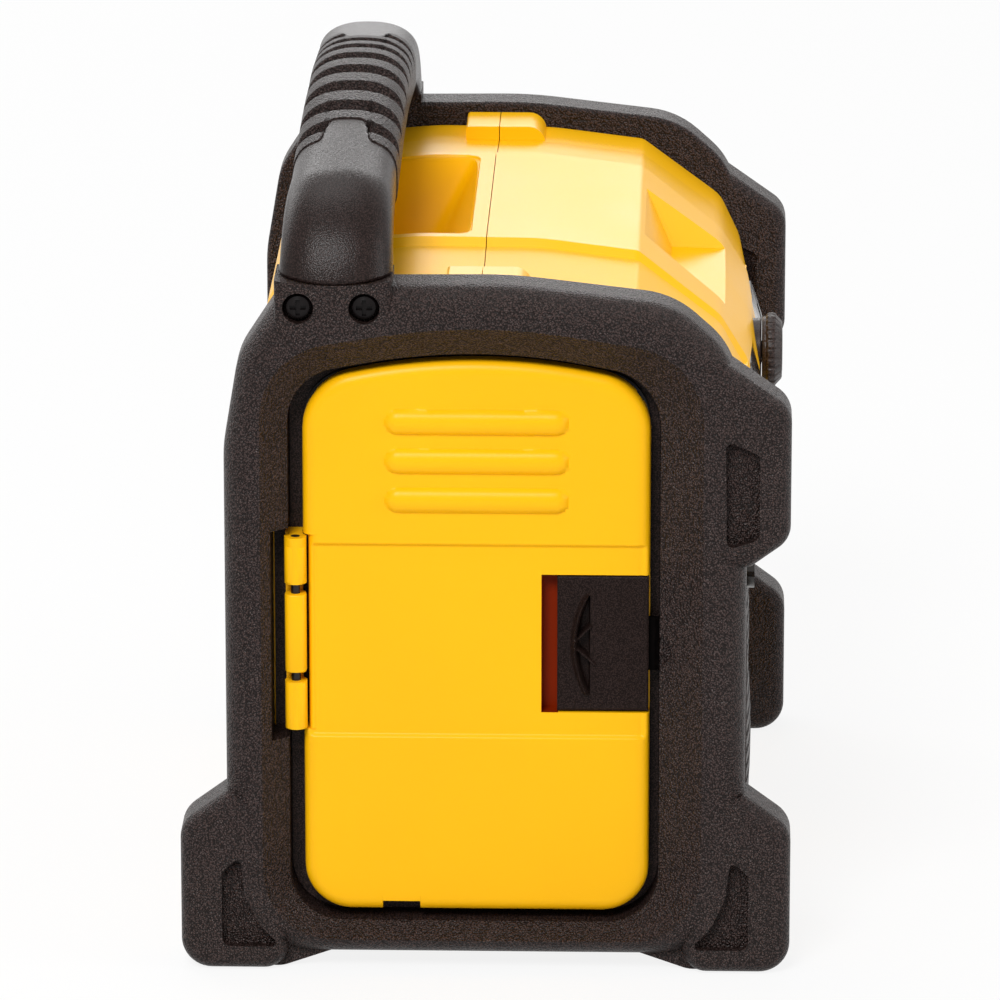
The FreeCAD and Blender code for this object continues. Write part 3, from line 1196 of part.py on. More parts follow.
def main():
    """Builds every node and writes it."""
    os.makedirs("parts", exist_ok=True)
    shell = body_block(0).cut(body_block(WALL))
    save("front_housing", front_housing(shell))
    save("rear_housing", rear_housing(shell))
    save("right_end_frame", end_frame(False))
    save("left_end_frame", mirrored(end_frame(True)))
    bar, grip = handle_parts()
    save("handle_bar", bar)
    save("handle_grip", grip)
    save("hinge_pin", rod(PIN_R, V(HINGE_X, HINGE_Y, HINGE_LOW), V(HINGE_X, HINGE_Y, HINGE_HIGH)))
    for name, build in {
        "storage_door": storage_door, "door_latch": door_latch, "storage_bay": storage_bay,
        "hinge_leaf": hinge_leaf, "door_seal": door_seal, "speaker_grille_left": speaker_grille,
        "speaker_basket_left": speaker_basket, "speaker_cone_left": speaker_cone,
        "speaker_magnet_left": speaker_magnet, "jack_board": jack_board, "aux_jack": aux_jack,
        "usb_socket": usb_socket, "clock_cell": clock_cell, "cell_cover": cell_cover,
    }.items():
        save(name, mirrored(build()))
    for name, build in {
        "right_end_panel": right_end_panel, "control_panel": control_panel,
        "display_window": display_window, "display_module": display_module, "button_pad": button_pad,
        "main_board": main_board, "tuning_knob": tuning_knob, "knob_shaft": knob_shaft,
        "knob_encoder": knob_encoder, "speaker_grille_right": speaker_grille,
        "speaker_basket_right": speaker_basket, "speaker_cone_right": speaker_cone,
        "speaker_magnet_right": speaker_magnet, "battery_dock": battery_dock,
        "terminal_block": terminal_block, "dock_contacts": dock_contacts, "power_inlet": power_inlet,
        "inlet_pins": inlet_pins, "transformer": transformer, "power_board": power_board,
        "heat_sink": heat_sink, "ferrite_antenna": ferrite_antenna, "handle_screws": handle_screws,
        "frame_screws": frame_screws, "housing_screws": housing_screws, "dock_screws": dock_screws,
        "speaker_screws": speaker_screws, "board_screws": board_screws, "panel_screws": panel_screws,
        "trim_screws": trim_screws,
    }.items():
        save(name, build())
    for name, place in BUTTONS.items():
        save(name, button(place))


if __name__ == "__main__":
    main()
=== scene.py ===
import math
import bmesh
import bpy
import numpy as np
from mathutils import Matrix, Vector


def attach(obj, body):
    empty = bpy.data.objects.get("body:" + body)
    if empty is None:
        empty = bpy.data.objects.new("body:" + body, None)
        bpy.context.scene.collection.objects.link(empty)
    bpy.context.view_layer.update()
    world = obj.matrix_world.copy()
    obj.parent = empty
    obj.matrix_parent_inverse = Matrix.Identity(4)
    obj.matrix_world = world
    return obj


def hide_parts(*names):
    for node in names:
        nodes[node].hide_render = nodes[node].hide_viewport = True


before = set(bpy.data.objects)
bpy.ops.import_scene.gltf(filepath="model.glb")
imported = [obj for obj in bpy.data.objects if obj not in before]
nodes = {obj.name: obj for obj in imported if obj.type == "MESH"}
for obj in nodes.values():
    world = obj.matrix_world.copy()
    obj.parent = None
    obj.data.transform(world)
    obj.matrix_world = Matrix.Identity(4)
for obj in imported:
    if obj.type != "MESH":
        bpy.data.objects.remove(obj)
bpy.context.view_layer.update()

# The view. The camera stands where the photograph was taken from: beyond the storage door's end, a little
# above, with a long lens.
SENSOR, LENS_PER_FRAME = 36.0, 7.7
CAMERA_AT = (-2.4966, -0.0699, 0.8592)
CAMERA_YAW, CAMERA_PITCH = math.radians(1.578), math.radians(16.491)
camera = bpy.data.objects.new("camera", bpy.data.cameras.new("camera"))
camera.data.sensor_width, camera.data.lens = SENSOR, SENSOR * LENS_PER_FRAME
camera.data.clip_start, camera.data.clip_end = 0.05, 100.0
camera.location = CAMERA_AT
aim = Vector((math.cos(CAMERA_YAW) * math.cos(CAMERA_PITCH),
              math.sin(CAMERA_YAW) * math.cos(CAMERA_PITCH), -math.sin(CAMERA_PITCH)))
camera.rotation_mode = "QUATERNION"
camera.rotation_quaternion = aim.to_track_quat("-Z", "Y")
bpy.context.scene.collection.objects.link(camera)
bpy.context.scene.camera = camera
bpy.context.scene.view_settings.view_transform = "Standard"


# The light. Five soft lamps stand before the door, above, beyond the far end, at the front and at the back.
# Camera, mirror and glass rays see a white studio, and everything else is lit by the lamps and a weaker white.
def lamp(name, size, place, target, power):
    """A rectangular soft lamp that points at a target."""
    data = bpy.data.lights.new(name, "AREA")
    data.shape = "RECTANGLE"
    data.size, data.size_y = size
    data.energy = power
    made = bpy.data.objects.new(name, data)
    made.location = place
    made.rotation_mode = "QUATERNION"
    made.rotation_quaternion = (Vector(target) - Vector(place)).to_track_quat("-Z", "Y")
    made.visible_camera = False
    bpy.context.scene.collection.objects.link(made)


lamp("lamp_key", (0.9, 0.9), (-1.9, 0.5, 1.9), (-0.1, 0.0, 0.12), 50.0)
lamp("lamp_over", (1.1, 1.1), (0.5, 0.3, 2.0), (0.0, 0.0, 0.1), 9.0)
lamp("lamp_rim", (1.5, 0.7), (2.5, 0.1, 0.98), (0.0, 0.0, 0.2), 10.5)
lamp("lamp_front", (1.2, 1.4), (-0.5, -2.1, 0.8), (0.0, 0.0, 0.12), 16.0)
lamp("lamp_back", (1.4, 1.2), (1.5, 1.6, 1.1), (0.0, 0.0, 0.15), 12.0)


def seen_share(tree):
    """1 for rays from the camera, off a mirror or through glass, and 0 for the light that falls on things."""
    ray = tree.nodes.new("ShaderNodeLightPath")
    total = ray.outputs["Is Camera Ray"]
    for other in ("Is Glossy Ray", "Is Transmission Ray"):
        either = tree.nodes.new("ShaderNodeMath")
        either.operation = "MAXIMUM"
        tree.links.new(total, either.inputs[0])
        tree.links.new(ray.outputs[other], either.inputs[1])
        total = either.outputs[0]
    return total


WHITE = (1.0, 1.0, 1.0, 1.0)
WORLD_SEEN, WORLD_LIGHT = 1.0, 0.32
world = bpy.data.worlds.new("studio")
bpy.context.scene.world = world
world.use_nodes = True
sky = world.node_tree
shown = sky.nodes.new("ShaderNodeBackground")
soft = sky.nodes["Background"]
for white, strength in ((shown, WORLD_SEEN), (soft, WORLD_LIGHT)):
    white.inputs["Color"].default_value = WHITE
    white.inputs["Strength"].default_value = strength
either = sky.nodes.new("ShaderNodeMixShader")
sky.links.new(seen_share(sky), either.inputs[0])
sky.links.new(soft.outputs[0], either.inputs[1])
sky.links.new(shown.outputs[0], either.inputs[2])
sky.links.new(either.outputs[0], sky.nodes["World Output"].inputs["Surface"])

# Floor. White paper far past the picture's edges, a tenth of a millimetre below the feet. It glows for the
# camera's rays only, so that it stays white while it still takes a shadow.
FLOOR_HALF, FLOOR_Z, FLOOR_GLOW = 30.0, -0.0001, 0.86


class Shade:
    """A number, colour or vector on its way through a material. Python's operators on it add Math nodes."""

    def __init__(self, finish, socket):
        self.finish = finish
        self.socket = socket

    def math(self, operation, *others):
        inputs = dict(enumerate((self,) + others))
        return self.finish.node("ShaderNodeMath", {"operation": operation}, inputs)

    def __add__(self, other):
        return self.math("ADD", other)

    def __mul__(self, other):
        return self.math("MULTIPLY", other)

    def __sub__(self, other):
        return self.math("SUBTRACT", other)

    def __rsub__(self, other):
        return self.finish.node("ShaderNodeMath", {"operation": "SUBTRACT"}, {0: other, 1: self})

    __radd__ = __add__
    __rmul__ = __mul__

    def rising(self, low, high):
        """0 below low, 1 above high, smooth between."""
        settings = {"interpolation_type": "SMOOTHSTEP"}
        return self.finish.node("ShaderNodeMapRange", settings, {"Value": self, 1: low, 2: high})


class Finish:
    """One material: its node tree, its Principled shader and the way nodes are added."""

    def __init__(self, name, **plain):
        self.material = bpy.data.materials.new(name)
        self.material.use_nodes = True
        self.tree = self.material.node_tree
        self.shader = self.tree.nodes["Principled BSDF"]
        self.paint(**plain)

    def set(self, node, inputs):
        """Fills a node's sockets: a Shade is linked, a colour gets its alpha, and a number is written."""
        for key, value in inputs.items():
            place = node.inputs[key]
            if isinstance(value, Shade):
                self.tree.links.new(value.socket, place)
            elif place.type == "RGBA" and len(value) == 3:
                place.default_value = (*value, 1.0)
            else:
                place.default_value = value

    def node(self, kind, settings=None, inputs=None, out=0):
        """Adds one node: settings first, then its sockets' values or links."""
        made = self.tree.nodes.new(kind)
        for key, value in (settings or {}).items():
            setattr(made, key, value)
        self.set(made, inputs or {})
        return Shade(self, made.outputs[out])

    def place(self):
        """The point on the piece, in metres in the radio's frame."""
        return self.node("ShaderNodeTexCoord", out=3)

    def stretched(self, x, y, z):
        """The point with each coordinate scaled, for streaks and rings."""
        return self.node("ShaderNodeMapping", {}, {"Vector": self.place(), "Scale": (x, y, z)})

    def noise(self, scale, detail=2.0, rough=0.5, at=None):
        """Soft noise between 0 and 1, with scale waves per metre."""
        inputs = {"Vector": at or self.place(), "Scale": scale, "Detail": detail, "Roughness": rough}
        return self.node("ShaderNodeTexNoise", {}, inputs)

    def cells(self, scale, at, smooth):
        """Distance to the nearest cell's middle, with scale cells per metre and softened joints."""
        inputs = {"Vector": at, "Scale": scale, "Smoothness": smooth}
        return self.node("ShaderNodeTexVoronoi", {"feature": "SMOOTH_F1"}, inputs)

    def blend(self, share, first, second):
        """A colour between two, by a share."""
        settings = {"data_type": "RGBA"}
        return self.node("ShaderNodeMix", settings, {0: share, 6: first, 7: second}, out=2)

    def relief(self, height, depth):
        """Raises the surface by height times depth, in metres."""
        inputs = {"Height": height, "Distance": depth}
        self.set(self.shader, {"Normal": self.node("ShaderNodeBump", {}, inputs)})

    def paint(self, **inputs):
        """Fills the shader's sockets, named with _ for a space."""
        self.set(self.shader, {key.replace("_", " "): value for key, value in inputs.items()})


floor_mesh = bpy.data.meshes.new("floor")
floor_corners = [(x * FLOOR_HALF, y * FLOOR_HALF, FLOOR_Z) for x, y in ((-1, -1), (1, -1), (1, 1), (-1, 1))]
floor_mesh.from_pydata(floor_corners, [], [(0, 1, 2, 3)])
floor = bpy.data.objects.new("floor", floor_mesh)
bpy.context.scene.collection.objects.link(floor)
paper = Finish("floor_paper", Roughness=0.9, Base_Color=(0.80, 0.80, 0.80))
glow = paper.node("ShaderNodeEmission", {}, {"Color": (1.0, 1.0, 1.0), "Strength": 1.0})
seen = Shade(paper, seen_share(paper.tree)) * FLOOR_GLOW
mixed = paper.node("ShaderNodeMixShader", {}, {0: seen, 1: Shade(paper, paper.shader.outputs[0]), 2: glow})
paper.set(paper.tree.nodes["Material Output"], {"Surface": mixed})
floor_mesh.materials.append(paper.material)

# Body shells. Two satin yellow mouldings meet at a seam under the handle. The plastic is coloured through,
# and the tool left a faint eroded texture and slow flow clouds.
YELLOW = (0.955, 0.495, 0.003)
CLOUD_SCALE, CLOUD_SHADE = 11.0, (0.975, 0.955, 0.9)
SPECK_SCALE, SPECK_DEPTH = 1700.0, 0.00003


def dress(finish, *names):
    """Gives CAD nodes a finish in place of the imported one."""
    for name in names:
        slots = nodes[name].data.materials
        slots.clear()
        slots.append(finish.material)


def yellow_moulding(name, gloss, colour=YELLOW):
    """Plastic coloured through: faint flow clouds, a fine texture and a soft gloss."""
    finish = Finish(name, Specular_IOR_Level=gloss)
    clouds = finish.noise(CLOUD_SCALE).rising(0.3, 0.7)
    speck = finish.noise(SPECK_SCALE, rough=0.6)
    deeper = tuple(part * share for part, share in zip(colour, CLOUD_SHADE))
    finish.paint(Base_Color=finish.blend(clouds, deeper, colour), Roughness=0.27 + 0.05 * clouds + 0.08 * speck)
    finish.relief(speck, SPECK_DEPTH)
    return finish


shell_yellow = yellow_moulding("shell_yellow", 0.20)
dress(shell_yellow, "front_housing", "rear_housing")

# End frames. Each is one black moulding with feet, bumper and handle boss. The tool gave it a coarse pebble
# grain and a few polished flanks. Its colour is painted paler on the crests, as painted light over painted
# shade in the joints, with painted glints on some crests.
BLACK = (0.0070, 0.0034, 0.0026)
# The crest colour below is painted light on the pebble crests, and the glint colour is painted glints.
CREST_PAINTED_LIGHT = (0.0600, 0.0365, 0.0325)
PAINTED_GLINT = (0.130, 0.100, 0.092)
PEBBLE_SHAKE, PEBBLE_SOFTNESS = 0.9, 0.35


def pebble_black(name, cell, depth, rough, gloss=0.25, painted_glint=0.3, painted_crest_light=1.0):
    """Black plastic in a pebble grain.

    The grain is rounded cells, with cell of them per metre, shaken out of line by a noise and laid on a
    slower swell. The crests are painted paler than the joints, by the painted crest light's share, as painted
    light on the crests and painted shade in the joints, and painted glints lie on some of them.
    """
    finish = Finish(name, Specular_IOR_Level=gloss)
    place = finish.place()
    shake = finish.node("ShaderNodeTexNoise", {}, {"Vector": place, "Scale": cell * 0.6, "Detail": 1.0}, out=1)
    shaken = finish.node("ShaderNodeVectorMath", {"operation": "MULTIPLY_ADD"},
                         {0: shake, 1: (PEBBLE_SHAKE / cell,) * 3, 2: place})
    pebbles = finish.cells(cell, shaken, PEBBLE_SOFTNESS)
    swell = finish.noise(cell * 0.33, 1.0, 0.5, at=place)
    # Painted light and shade: the colour is paler on the crests and darker in the joints, and painted glints lie on
    # some crests, where the roughness is also lower.
    crests = 1.0 - pebbles.rising(0.20, 0.62)
    polish_and_painted_glint = finish.noise(cell * 0.7, 1.0, 0.6, at=shaken).rising(0.52, 0.70) * crests
    ground = finish.blend(crests * (0.4 + swell) * painted_crest_light, BLACK, CREST_PAINTED_LIGHT)
    finish.paint(Base_Color=finish.blend(polish_and_painted_glint * painted_glint, ground, PAINTED_GLINT),
                 Roughness=rough + 0.16 * pebbles - 0.08 * polish_and_painted_glint)
    finish.relief(0.5 * swell - pebbles, depth)
    return finish


frame_black = pebble_black("frame_black", 1600.0, 0.00055, 0.28, gloss=0.18)
dress(frame_black, "left_end_frame", "right_end_frame")

# Handle grip. A softer black grip is moulded over the crown of the handle's bar, with rows of lens-shaped
# pockets that leave seven pebbled ribs between them. All distances run along the bar from the crown.
PATH_FLAT, PATH_SLOPE = 0.034, math.radians(6.83)
PATH_CORNER, PATH_TURN = 0.1032, 0.0278
PATH_END, PATH_STEP = 0.160, 0.0001
CROWN_TOP, BAR_HALF = 0.27152, 0.0123
THIN_BY, THIN_FROM, THIN_OVER = 0.0005, 0.115, 0.03
SQUARE_Y, SQUARE_N = (2.35, 4.0), (2.55, 5.0)
BAR_STATIONS = (0.0, 0.09, 0.135, PATH_END)
BAR_FRONT, BAR_REAR = (0.0300, 0.0303, 0.0296, 0.0296), (0.0625, 0.0637, 0.0660, 0.0660)


def handle_line(s):
    """The bar's middle line at distances s from the crown, towards +X.

    Its slope grows evenly to PATH_SLOPE over PATH_FLAT, stays there, and turns on to upright at the corner on
    a radius of PATH_TURN. The point is the running sum of the slope's cosine and sine.
    """
    steps = np.arange(0.0, PATH_END + PATH_STEP, PATH_STEP)
    turn = np.clip((steps - PATH_CORNER) / (PATH_TURN * (math.pi / 2 - PATH_SLOPE)), 0.0, 1.0)
    slope = PATH_SLOPE * np.clip(steps / PATH_FLAT, 0.0, 1.0) + (math.pi / 2 - PATH_SLOPE) * turn
    x = np.cumsum(np.cos(slope)) * PATH_STEP
    z = CROWN_TOP - BAR_HALF - np.cumsum(np.sin(slope)) * PATH_STEP
    far = np.abs(s)
    side = np.where(s < 0, -1.0, 1.0)
    return side * np.interp(far, steps, x), np.interp(far, steps, z), side * np.interp(far, steps, slope)


def handle_skin(s, turn, sunk=0.0):
    """Points of the bar's skin at distance s along it and angle turn round it (0 front, pi/2 outwards).

    Across the bar the section is a superellipse: the half widths times the cosine to the power 2 / SQUARE_Y
    and the sine to the power 2 / SQUARE_N, where the first value of each is for the rounder outside. The
    front and rear draw apart towards the feet, and the skin lies sunk metres below this outline.
    """
    x, z, slope = handle_line(s)
    far = np.abs(s)
    front, rear = np.interp(far, BAR_STATIONS, BAR_FRONT), np.interp(far, BAR_STATIONS, BAR_REAR)
    half = BAR_HALF - THIN_BY * np.clip((far - THIN_FROM) / THIN_OVER, 0.0, 1.0)
    outside = np.sin(turn) > 0
    across = np.sign(np.cos(turn)) * np.abs(np.cos(turn)) ** (2.0 / np.where(outside, *SQUARE_Y))
    out = np.sign(np.sin(turn)) * np.abs(np.sin(turn)) ** (2.0 / np.where(outside, *SQUARE_N))
    y = (front + rear) / 2 - ((rear - front) / 2 - sunk) * across
    reach = (half - sunk) * out
    return np.stack([x + np.sin(slope) * reach, y, z + np.cos(slope) * reach], axis=-1)


WELD = 2e-7


def surface(name, points, finish, body, crease=180.0):
    """A grid of points (rows, columns, 3) as a closed mesh that rides on a body.

    Quads join each point to the next in both directions, and the last column to the first. Points that
    coincide, as at a pole or along a folded row, are welded. Edges sharper than crease degrees stay sharp.
    """
    rows, columns = points.shape[:2]
    index = np.arange(rows * columns).reshape(rows, columns)
    after = np.roll(index, -1, axis=1)
    quads = np.stack([index[:-1], index[1:], after[1:], after[:-1]], axis=-1).reshape(-1, 4)
    mesh = bpy.data.meshes.new(name)
    mesh.from_pydata(points.reshape(-1, 3), [], quads)
    welded = bmesh.new()
    welded.from_mesh(mesh)
    bmesh.ops.remove_doubles(welded, verts=welded.verts, dist=WELD)
    welded.to_mesh(mesh)
    welded.free()
    mesh.polygons.foreach_set("use_smooth", np.full(len(mesh.polygons), True))
    mesh.materials.append(finish.material)
    piece = bpy.data.objects.new(name, mesh)
    bpy.context.scene.collection.objects.link(piece)
    if crease < 180.0:
        mesh.set_sharp_from_angle(angle=math.radians(crease))
    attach(piece, body)
    return piece


def step(value, low, high):
    """0 below low, 1 above high, smooth between."""
    part = np.clip((value - low) / (high - low), 0.0, 1.0)
    return part * part * (3.0 - 2.0 * part)


def capped(tube):
    """Closes a tube of points: each end row is gathered to its middle."""
    caps = [np.broadcast_to(tube[row].mean(axis=0), tube[:1].shape) for row in (0, -1)]
    return np.concatenate([caps[0], tube, caps[1]])


GRIP_REACH, TONGUE_LENGTH, TONGUE_EDGE, TONGUE_BLUR = 0.0765, 0.0185, 0.93, 0.012
SKIRT_LENGTH, SKIRT_TOP, SKIRT_MOST = 0.004, 0.6, 0.8


def grip_end(turn):
    """How far the grip reaches along the bar at each angle.

    It is GRIP_REACH, less the bar's tongue over the top, by a logistic step in the sine of the angle, and
    more by a skirt that grows as the sine falls below SKIRT_TOP.
    """
    height = np.sin(turn)
    tongue = 1.0 / (1.0 + np.exp(-(height - TONGUE_EDGE) / TONGUE_BLUR))
    return GRIP_REACH - TONGUE_LENGTH * tongue + SKIRT_LENGTH * np.clip(SKIRT_TOP - height, 0.0, SKIRT_MOST)


RIB_PITCH, POCKET_ROWS, POCKET_POWER = 0.0184, 4, 2.2
POCKET_HALF, POCKET_DEEP, POCKET_SPAN, POCKET_WALL = 0.0050, 0.0026, 0.97, 0.0024
GRIP_PROUD, GRIP_TUCK, GRIP_LIP = 0.0004, 0.0030, 0.012
grip_black = pebble_black("grip_black", 1500.0, 0.00060, 0.27, gloss=0.12, painted_crest_light=0.8)
turn = np.linspace(0.0, 2.0 * math.pi, 220, endpoint=False)
share = np.linspace(-1.0, 1.0, 420)
grip_s = share[:, None] * grip_end(turn)[None, :]
grip_t = np.broadcast_to(turn, grip_s.shape)
spread = np.arccos(np.clip(np.sin(grip_t), -1.0, 1.0)) / (POCKET_SPAN * math.pi / 2)
lens = POCKET_HALF * np.sqrt(np.clip(1.0 - spread ** POCKET_POWER, 0.0, 1.0))
middle = (np.round(grip_s / RIB_PITCH - 0.5) + 0.5) * RIB_PITCH
pocket = step(lens - np.abs(grip_s - middle), 0.0, POCKET_WALL) * (np.abs(middle) < POCKET_ROWS * RIB_PITCH)
lip = np.clip((1.0 - np.abs(share)) / GRIP_LIP, 0.0, 1.0)[:, None]
sunk = POCKET_DEEP * pocket - GRIP_PROUD * np.sqrt(lip * (2.0 - lip))
sunk[[0, -1]] = GRIP_TUCK
grip = surface("grip_skin", capped(handle_skin(grip_s, grip_t, sunk)), grip_black, "radio")
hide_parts("handle_grip")

# Handle bar. One stiff black moulding in a finer grain arches from boss to boss and is screwed to both
# frames. Its feet end on the bosses' bowed seats, and under the grip it is drawn in.
SEAT_LOW, SEAT_RISE, SEAT_MIDDLE, SEAT_HALF = 0.2313, 0.0015, 0.048, 0.0185
FOOT_GUESS, FOOT_TRIES, DRAWN_FROM, DRAWN_OVER = 0.135, 4, 0.0006, 0.0008
handle_black = pebble_black("handle_black", 2100.0, 0.00008, 0.22, gloss=0.15, painted_glint=0.02, painted_crest_light=0.55)
turn = np.linspace(0.0, 2.0 * math.pi, 140, endpoint=False)
foot_s = np.full(turn.shape, FOOT_GUESS)
for _ in range(FOOT_TRIES):
    skin = handle_skin(foot_s, turn)
    seat = SEAT_LOW + SEAT_RISE * ((skin[:, 1] - SEAT_MIDDLE) / SEAT_HALF) ** 2
    foot_s = foot_s + (skin[:, 2] - seat)
share = np.linspace(-1.0, 1.0, 300)
bar_s = share[:, None] * foot_s[None, :]
bar_t = np.broadcast_to(turn, bar_s.shape)
sunk = GRIP_TUCK * np.clip((grip_end(turn)[None, :] - DRAWN_FROM - np.abs(bar_s)) / DRAWN_OVER, 0.0, 1.0)
bar = surface("bar_skin", capped(handle_skin(bar_s, bar_t, sunk)), handle_black, "radio")
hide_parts("handle_bar")

# Scoop lining. Under the handle the top is moulded down into a dish, so that a gloved hand fits round the
# grip. It is part of the rear shell, in a copy of the shell's plastic painted a deeper orange as painted
# bounce light in the dish's shade.
DISH_LOW, DISH_TOP, DISH_HALF, DISH_THICK = 0.2036, 0.2262, 0.0524, 0.0008
DISH_FRONT, DISH_REAR, FRONT_LEAN, REAR_LEAN = 0.0060, 0.0600, 1.78, 2.314
DISH_END, WALL_RISE, DISH_SHARP = 0.0545, 0.0022, 320.0
RIM_Y, RIM_Z, RIM_UNDER = (0.0, 0.026, 0.060), (0.2263, 0.2261, 0.2229), 0.0003
across = np.linspace(-DISH_END, DISH_END, 180)[:, None]
along = np.linspace(DISH_FRONT, DISH_REAR, 110)[None, :]


def between(face, back):
    """Closes the space between two sheets of points: both are joined round the rim."""
    loops = np.concatenate([face, back[:, ::-1]], axis=1)
    folds = [np.concatenate([back[row], back[row][::-1]])[None] for row in (0, -1)]
    return np.concatenate([folds[0], loops, folds[1]])


def dish_height(x, y):
    """The soft maximum of a parabola along x and of the two walls that lean away from the dish.

    The soft maximum is the logarithm of the sum of the exponentials, with DISH_SHARP per metre. It stops
    RIM_UNDER below the shell's rim.
    """
    bowl = DISH_LOW + (DISH_TOP - DISH_LOW) * (x / DISH_HALF) ** 2
    front = DISH_TOP + WALL_RISE - (y - DISH_FRONT) * FRONT_LEAN
    rear = DISH_TOP + WALL_RISE - (DISH_REAR - y) * REAR_LEAN
    total = sum(np.exp(DISH_SHARP * (part - DISH_LOW)) for part in (bowl, front, rear))
    height = DISH_LOW + np.log(total) / DISH_SHARP
    return np.minimum(height, np.interp(y, RIM_Y, RIM_Z) - RIM_UNDER)


# Painted light: the lining's plastic is a deeper orange than the shell's, for the glow bounced round the dish.
scoop_painted_glow = yellow_moulding("scoop_painted_glow", 0.05, colour=(1.0, 0.47, 0.0005))
dish = np.stack(np.broadcast_arrays(across, along, dish_height(across, along)), axis=-1)
under_dish = dish - (0.0, 0.0, DISH_THICK)
lining = surface("scoop_lining", between(dish, under_dish), scoop_painted_glow, "radio", crease=60.0)

# Storage door. A yellow moulding, hollow behind, with a rounded edge, three grip ribs, a sunk band and a slot
# for the latch. It snaps shut over the bay in the near end, and its lower part is left bare.
door_yellow = yellow_moulding("door_yellow", 0.16)
DOOR_X, DOOR_BACK, DOOR_SKIN, RIM_MORE = -0.130, 0.008, 0.0026, 0.002
DOOR_Y, DOOR_Z = (-0.0530, 0.0588), (0.0185, 0.2080)
DOOR_CORNER, DOOR_PEAK = 0.0155, 0.003
TOP_CROWN, TOP_RADIUS, TOP_ARC, TOP_SLOPE, TOP_COSINE = 0.20404, 0.190, 0.0382, 0.2057, 0.98
HINGE_NICK, NICK_DEEP, NICK_FROM, NICK_OVER = (0.0804, 0.1461), 0.0017, 0.0520, 0.0068
FOOT_NICK, FOOT_NICK_HIGH = (0.0213, 0.0335), 0.0033
SLOT_Y, SLOT_Z, SLOT_DEEP = -0.0182, (0.0865, 0.1330), 0.0060
WELL_WIDE, WELL_DEEP = 0.0052, 0.0068
RIB_ROWS, RIB_MIDDLE, RIB_STRAIGHT = (0.184, 0.171, 0.158), 0.0028, 0.0253
RIB_HALF, RIB_HIGH, RIB_POWER = 0.0040, 0.0023, 1.15
BAND_LOW, BAND_HIGH, BAND_DEEP = (0.0776, 0.0792), (0.1421, 0.1436), 0.0012
BAND_LEFT, BAND_RIGHT = (0.0006, 0.0030), (0.0012, 0.0034)
EDGE_WIDE, EDGE_FALL, EDGE_POWER = 0.0050, 0.0034, 2.6


def runs(*stops):
    """Steps for a grid: each run is (start, end, count), joined without repeats."""
    return np.unique(np.concatenate([np.linspace(*stop) for stop in stops]).round(6))


def door_top(y):
    """The door's upper edge: a circle's arc about DOOR_PEAK, and beyond TOP_ARC two straight slopes."""
    far = np.abs(y - DOOR_PEAK)
    arc = TOP_CROWN - TOP_RADIUS + np.sqrt(TOP_RADIUS ** 2 - far ** 2)
    return np.where(far < TOP_ARC, arc, DOOR_Z[1] - TOP_SLOPE * far)


def corner_drop(y):
    """How far a round corner cuts in from the door's top or bottom at each y: radius less quarter circle."""
    near = np.minimum(y - DOOR_Y[0], DOOR_Y[1] - y)
    reach = np.clip(DOOR_CORNER - near, 0.0, DOOR_CORNER)
    return DOOR_CORNER - np.sqrt(DOOR_CORNER ** 2 - reach ** 2)


def door_face(y, z):
    """How far the door's face stands out from its plane.

    The edge falls by a quarter of a superellipse over EDGE_WIDE, stopped just short of upright. Each rib is
    half an ellipse round a line. The band is sunk between smooth steps, and the slot and well are cut square.
    """
    side = np.minimum(y - DOOR_Y[0], DOOR_Y[1] - y)
    end = np.minimum(z - DOOR_Z[0], (door_top(y) - z) * TOP_COSINE)
    corner = np.hypot(np.clip(DOOR_CORNER - side, 0.0, None), np.clip(DOOR_CORNER - end, 0.0, None))
    in_corner = (side < DOOR_CORNER) & (end < DOOR_CORNER)
    inward = np.where(in_corner, DOOR_CORNER - corner, np.minimum(side, end))
    near = np.clip(1.0 - inward / EDGE_WIDE, 0.0, 1.0)
    out = -EDGE_FALL * (1.0 - np.sqrt(1.0 - 0.999 * near ** EDGE_POWER))
    for row in RIB_ROWS:
        beyond = np.clip(np.abs(y - RIB_MIDDLE) - RIB_STRAIGHT, 0.0, None)
        reach = np.hypot(beyond, z - row) / RIB_HALF
        out = out + RIB_HIGH * np.sqrt(np.clip(1.0 - reach ** 2, 0.0, 1.0)) ** RIB_POWER
    band = step(z, *BAND_LOW) * (1.0 - step(z, *BAND_HIGH))
    band = band * step(y - DOOR_Y[0], *BAND_LEFT) * step(DOOR_Y[1] - y, *BAND_RIGHT)
    out = out - BAND_DEEP * band
    slot = (y < SLOT_Y) & (z > SLOT_Z[0]) & (z < SLOT_Z[1])
    well = slot & (y > SLOT_Y - WELL_WIDE)
    return np.where(well, -WELL_DEEP, np.where(slot, -SLOT_DEEP, out))


# The grid's lines crowd together at the rounded edge and the ribs, and stand in close pairs at each cut.
door_cols = runs((-0.0530, -0.0480, 16), (-0.0480, -0.0235, 24), (-0.02342, -0.02338, 2), (-0.0232, -0.0184, 5),
                 (-0.01822, -0.01818, 2), (-0.0180, 0.0210, 60), (0.02128, 0.02132, 2), (0.0215, 0.0333, 16),
                 (0.03348, 0.03352, 2), (0.0337, 0.0538, 24), (0.0538, 0.0588, 16))
door_rows = runs((0.0185, 0.0245, 20), (0.0245, 0.0760, 28), (0.0762, 0.0802, 14), (0.08038, 0.08042, 2),
                 (0.0815, 0.0860, 5), (0.08648, 0.08652, 2), (0.0870, 0.1328, 28), (0.13298, 0.13302, 2),
                 (0.1335, 0.1415, 8), (0.1417, 0.1450, 12), (0.14608, 0.14612, 2), (0.1470, 0.1535, 7),
                 (0.1537, 0.1885, 76), (0.1887, 0.2020, 18), (0.2022, 0.2080, 20))
door_y = np.broadcast_to(door_cols[None, :], (len(door_rows), len(door_cols)))
foot_nick = (door_cols > FOOT_NICK[0]) & (door_cols < FOOT_NICK[1])
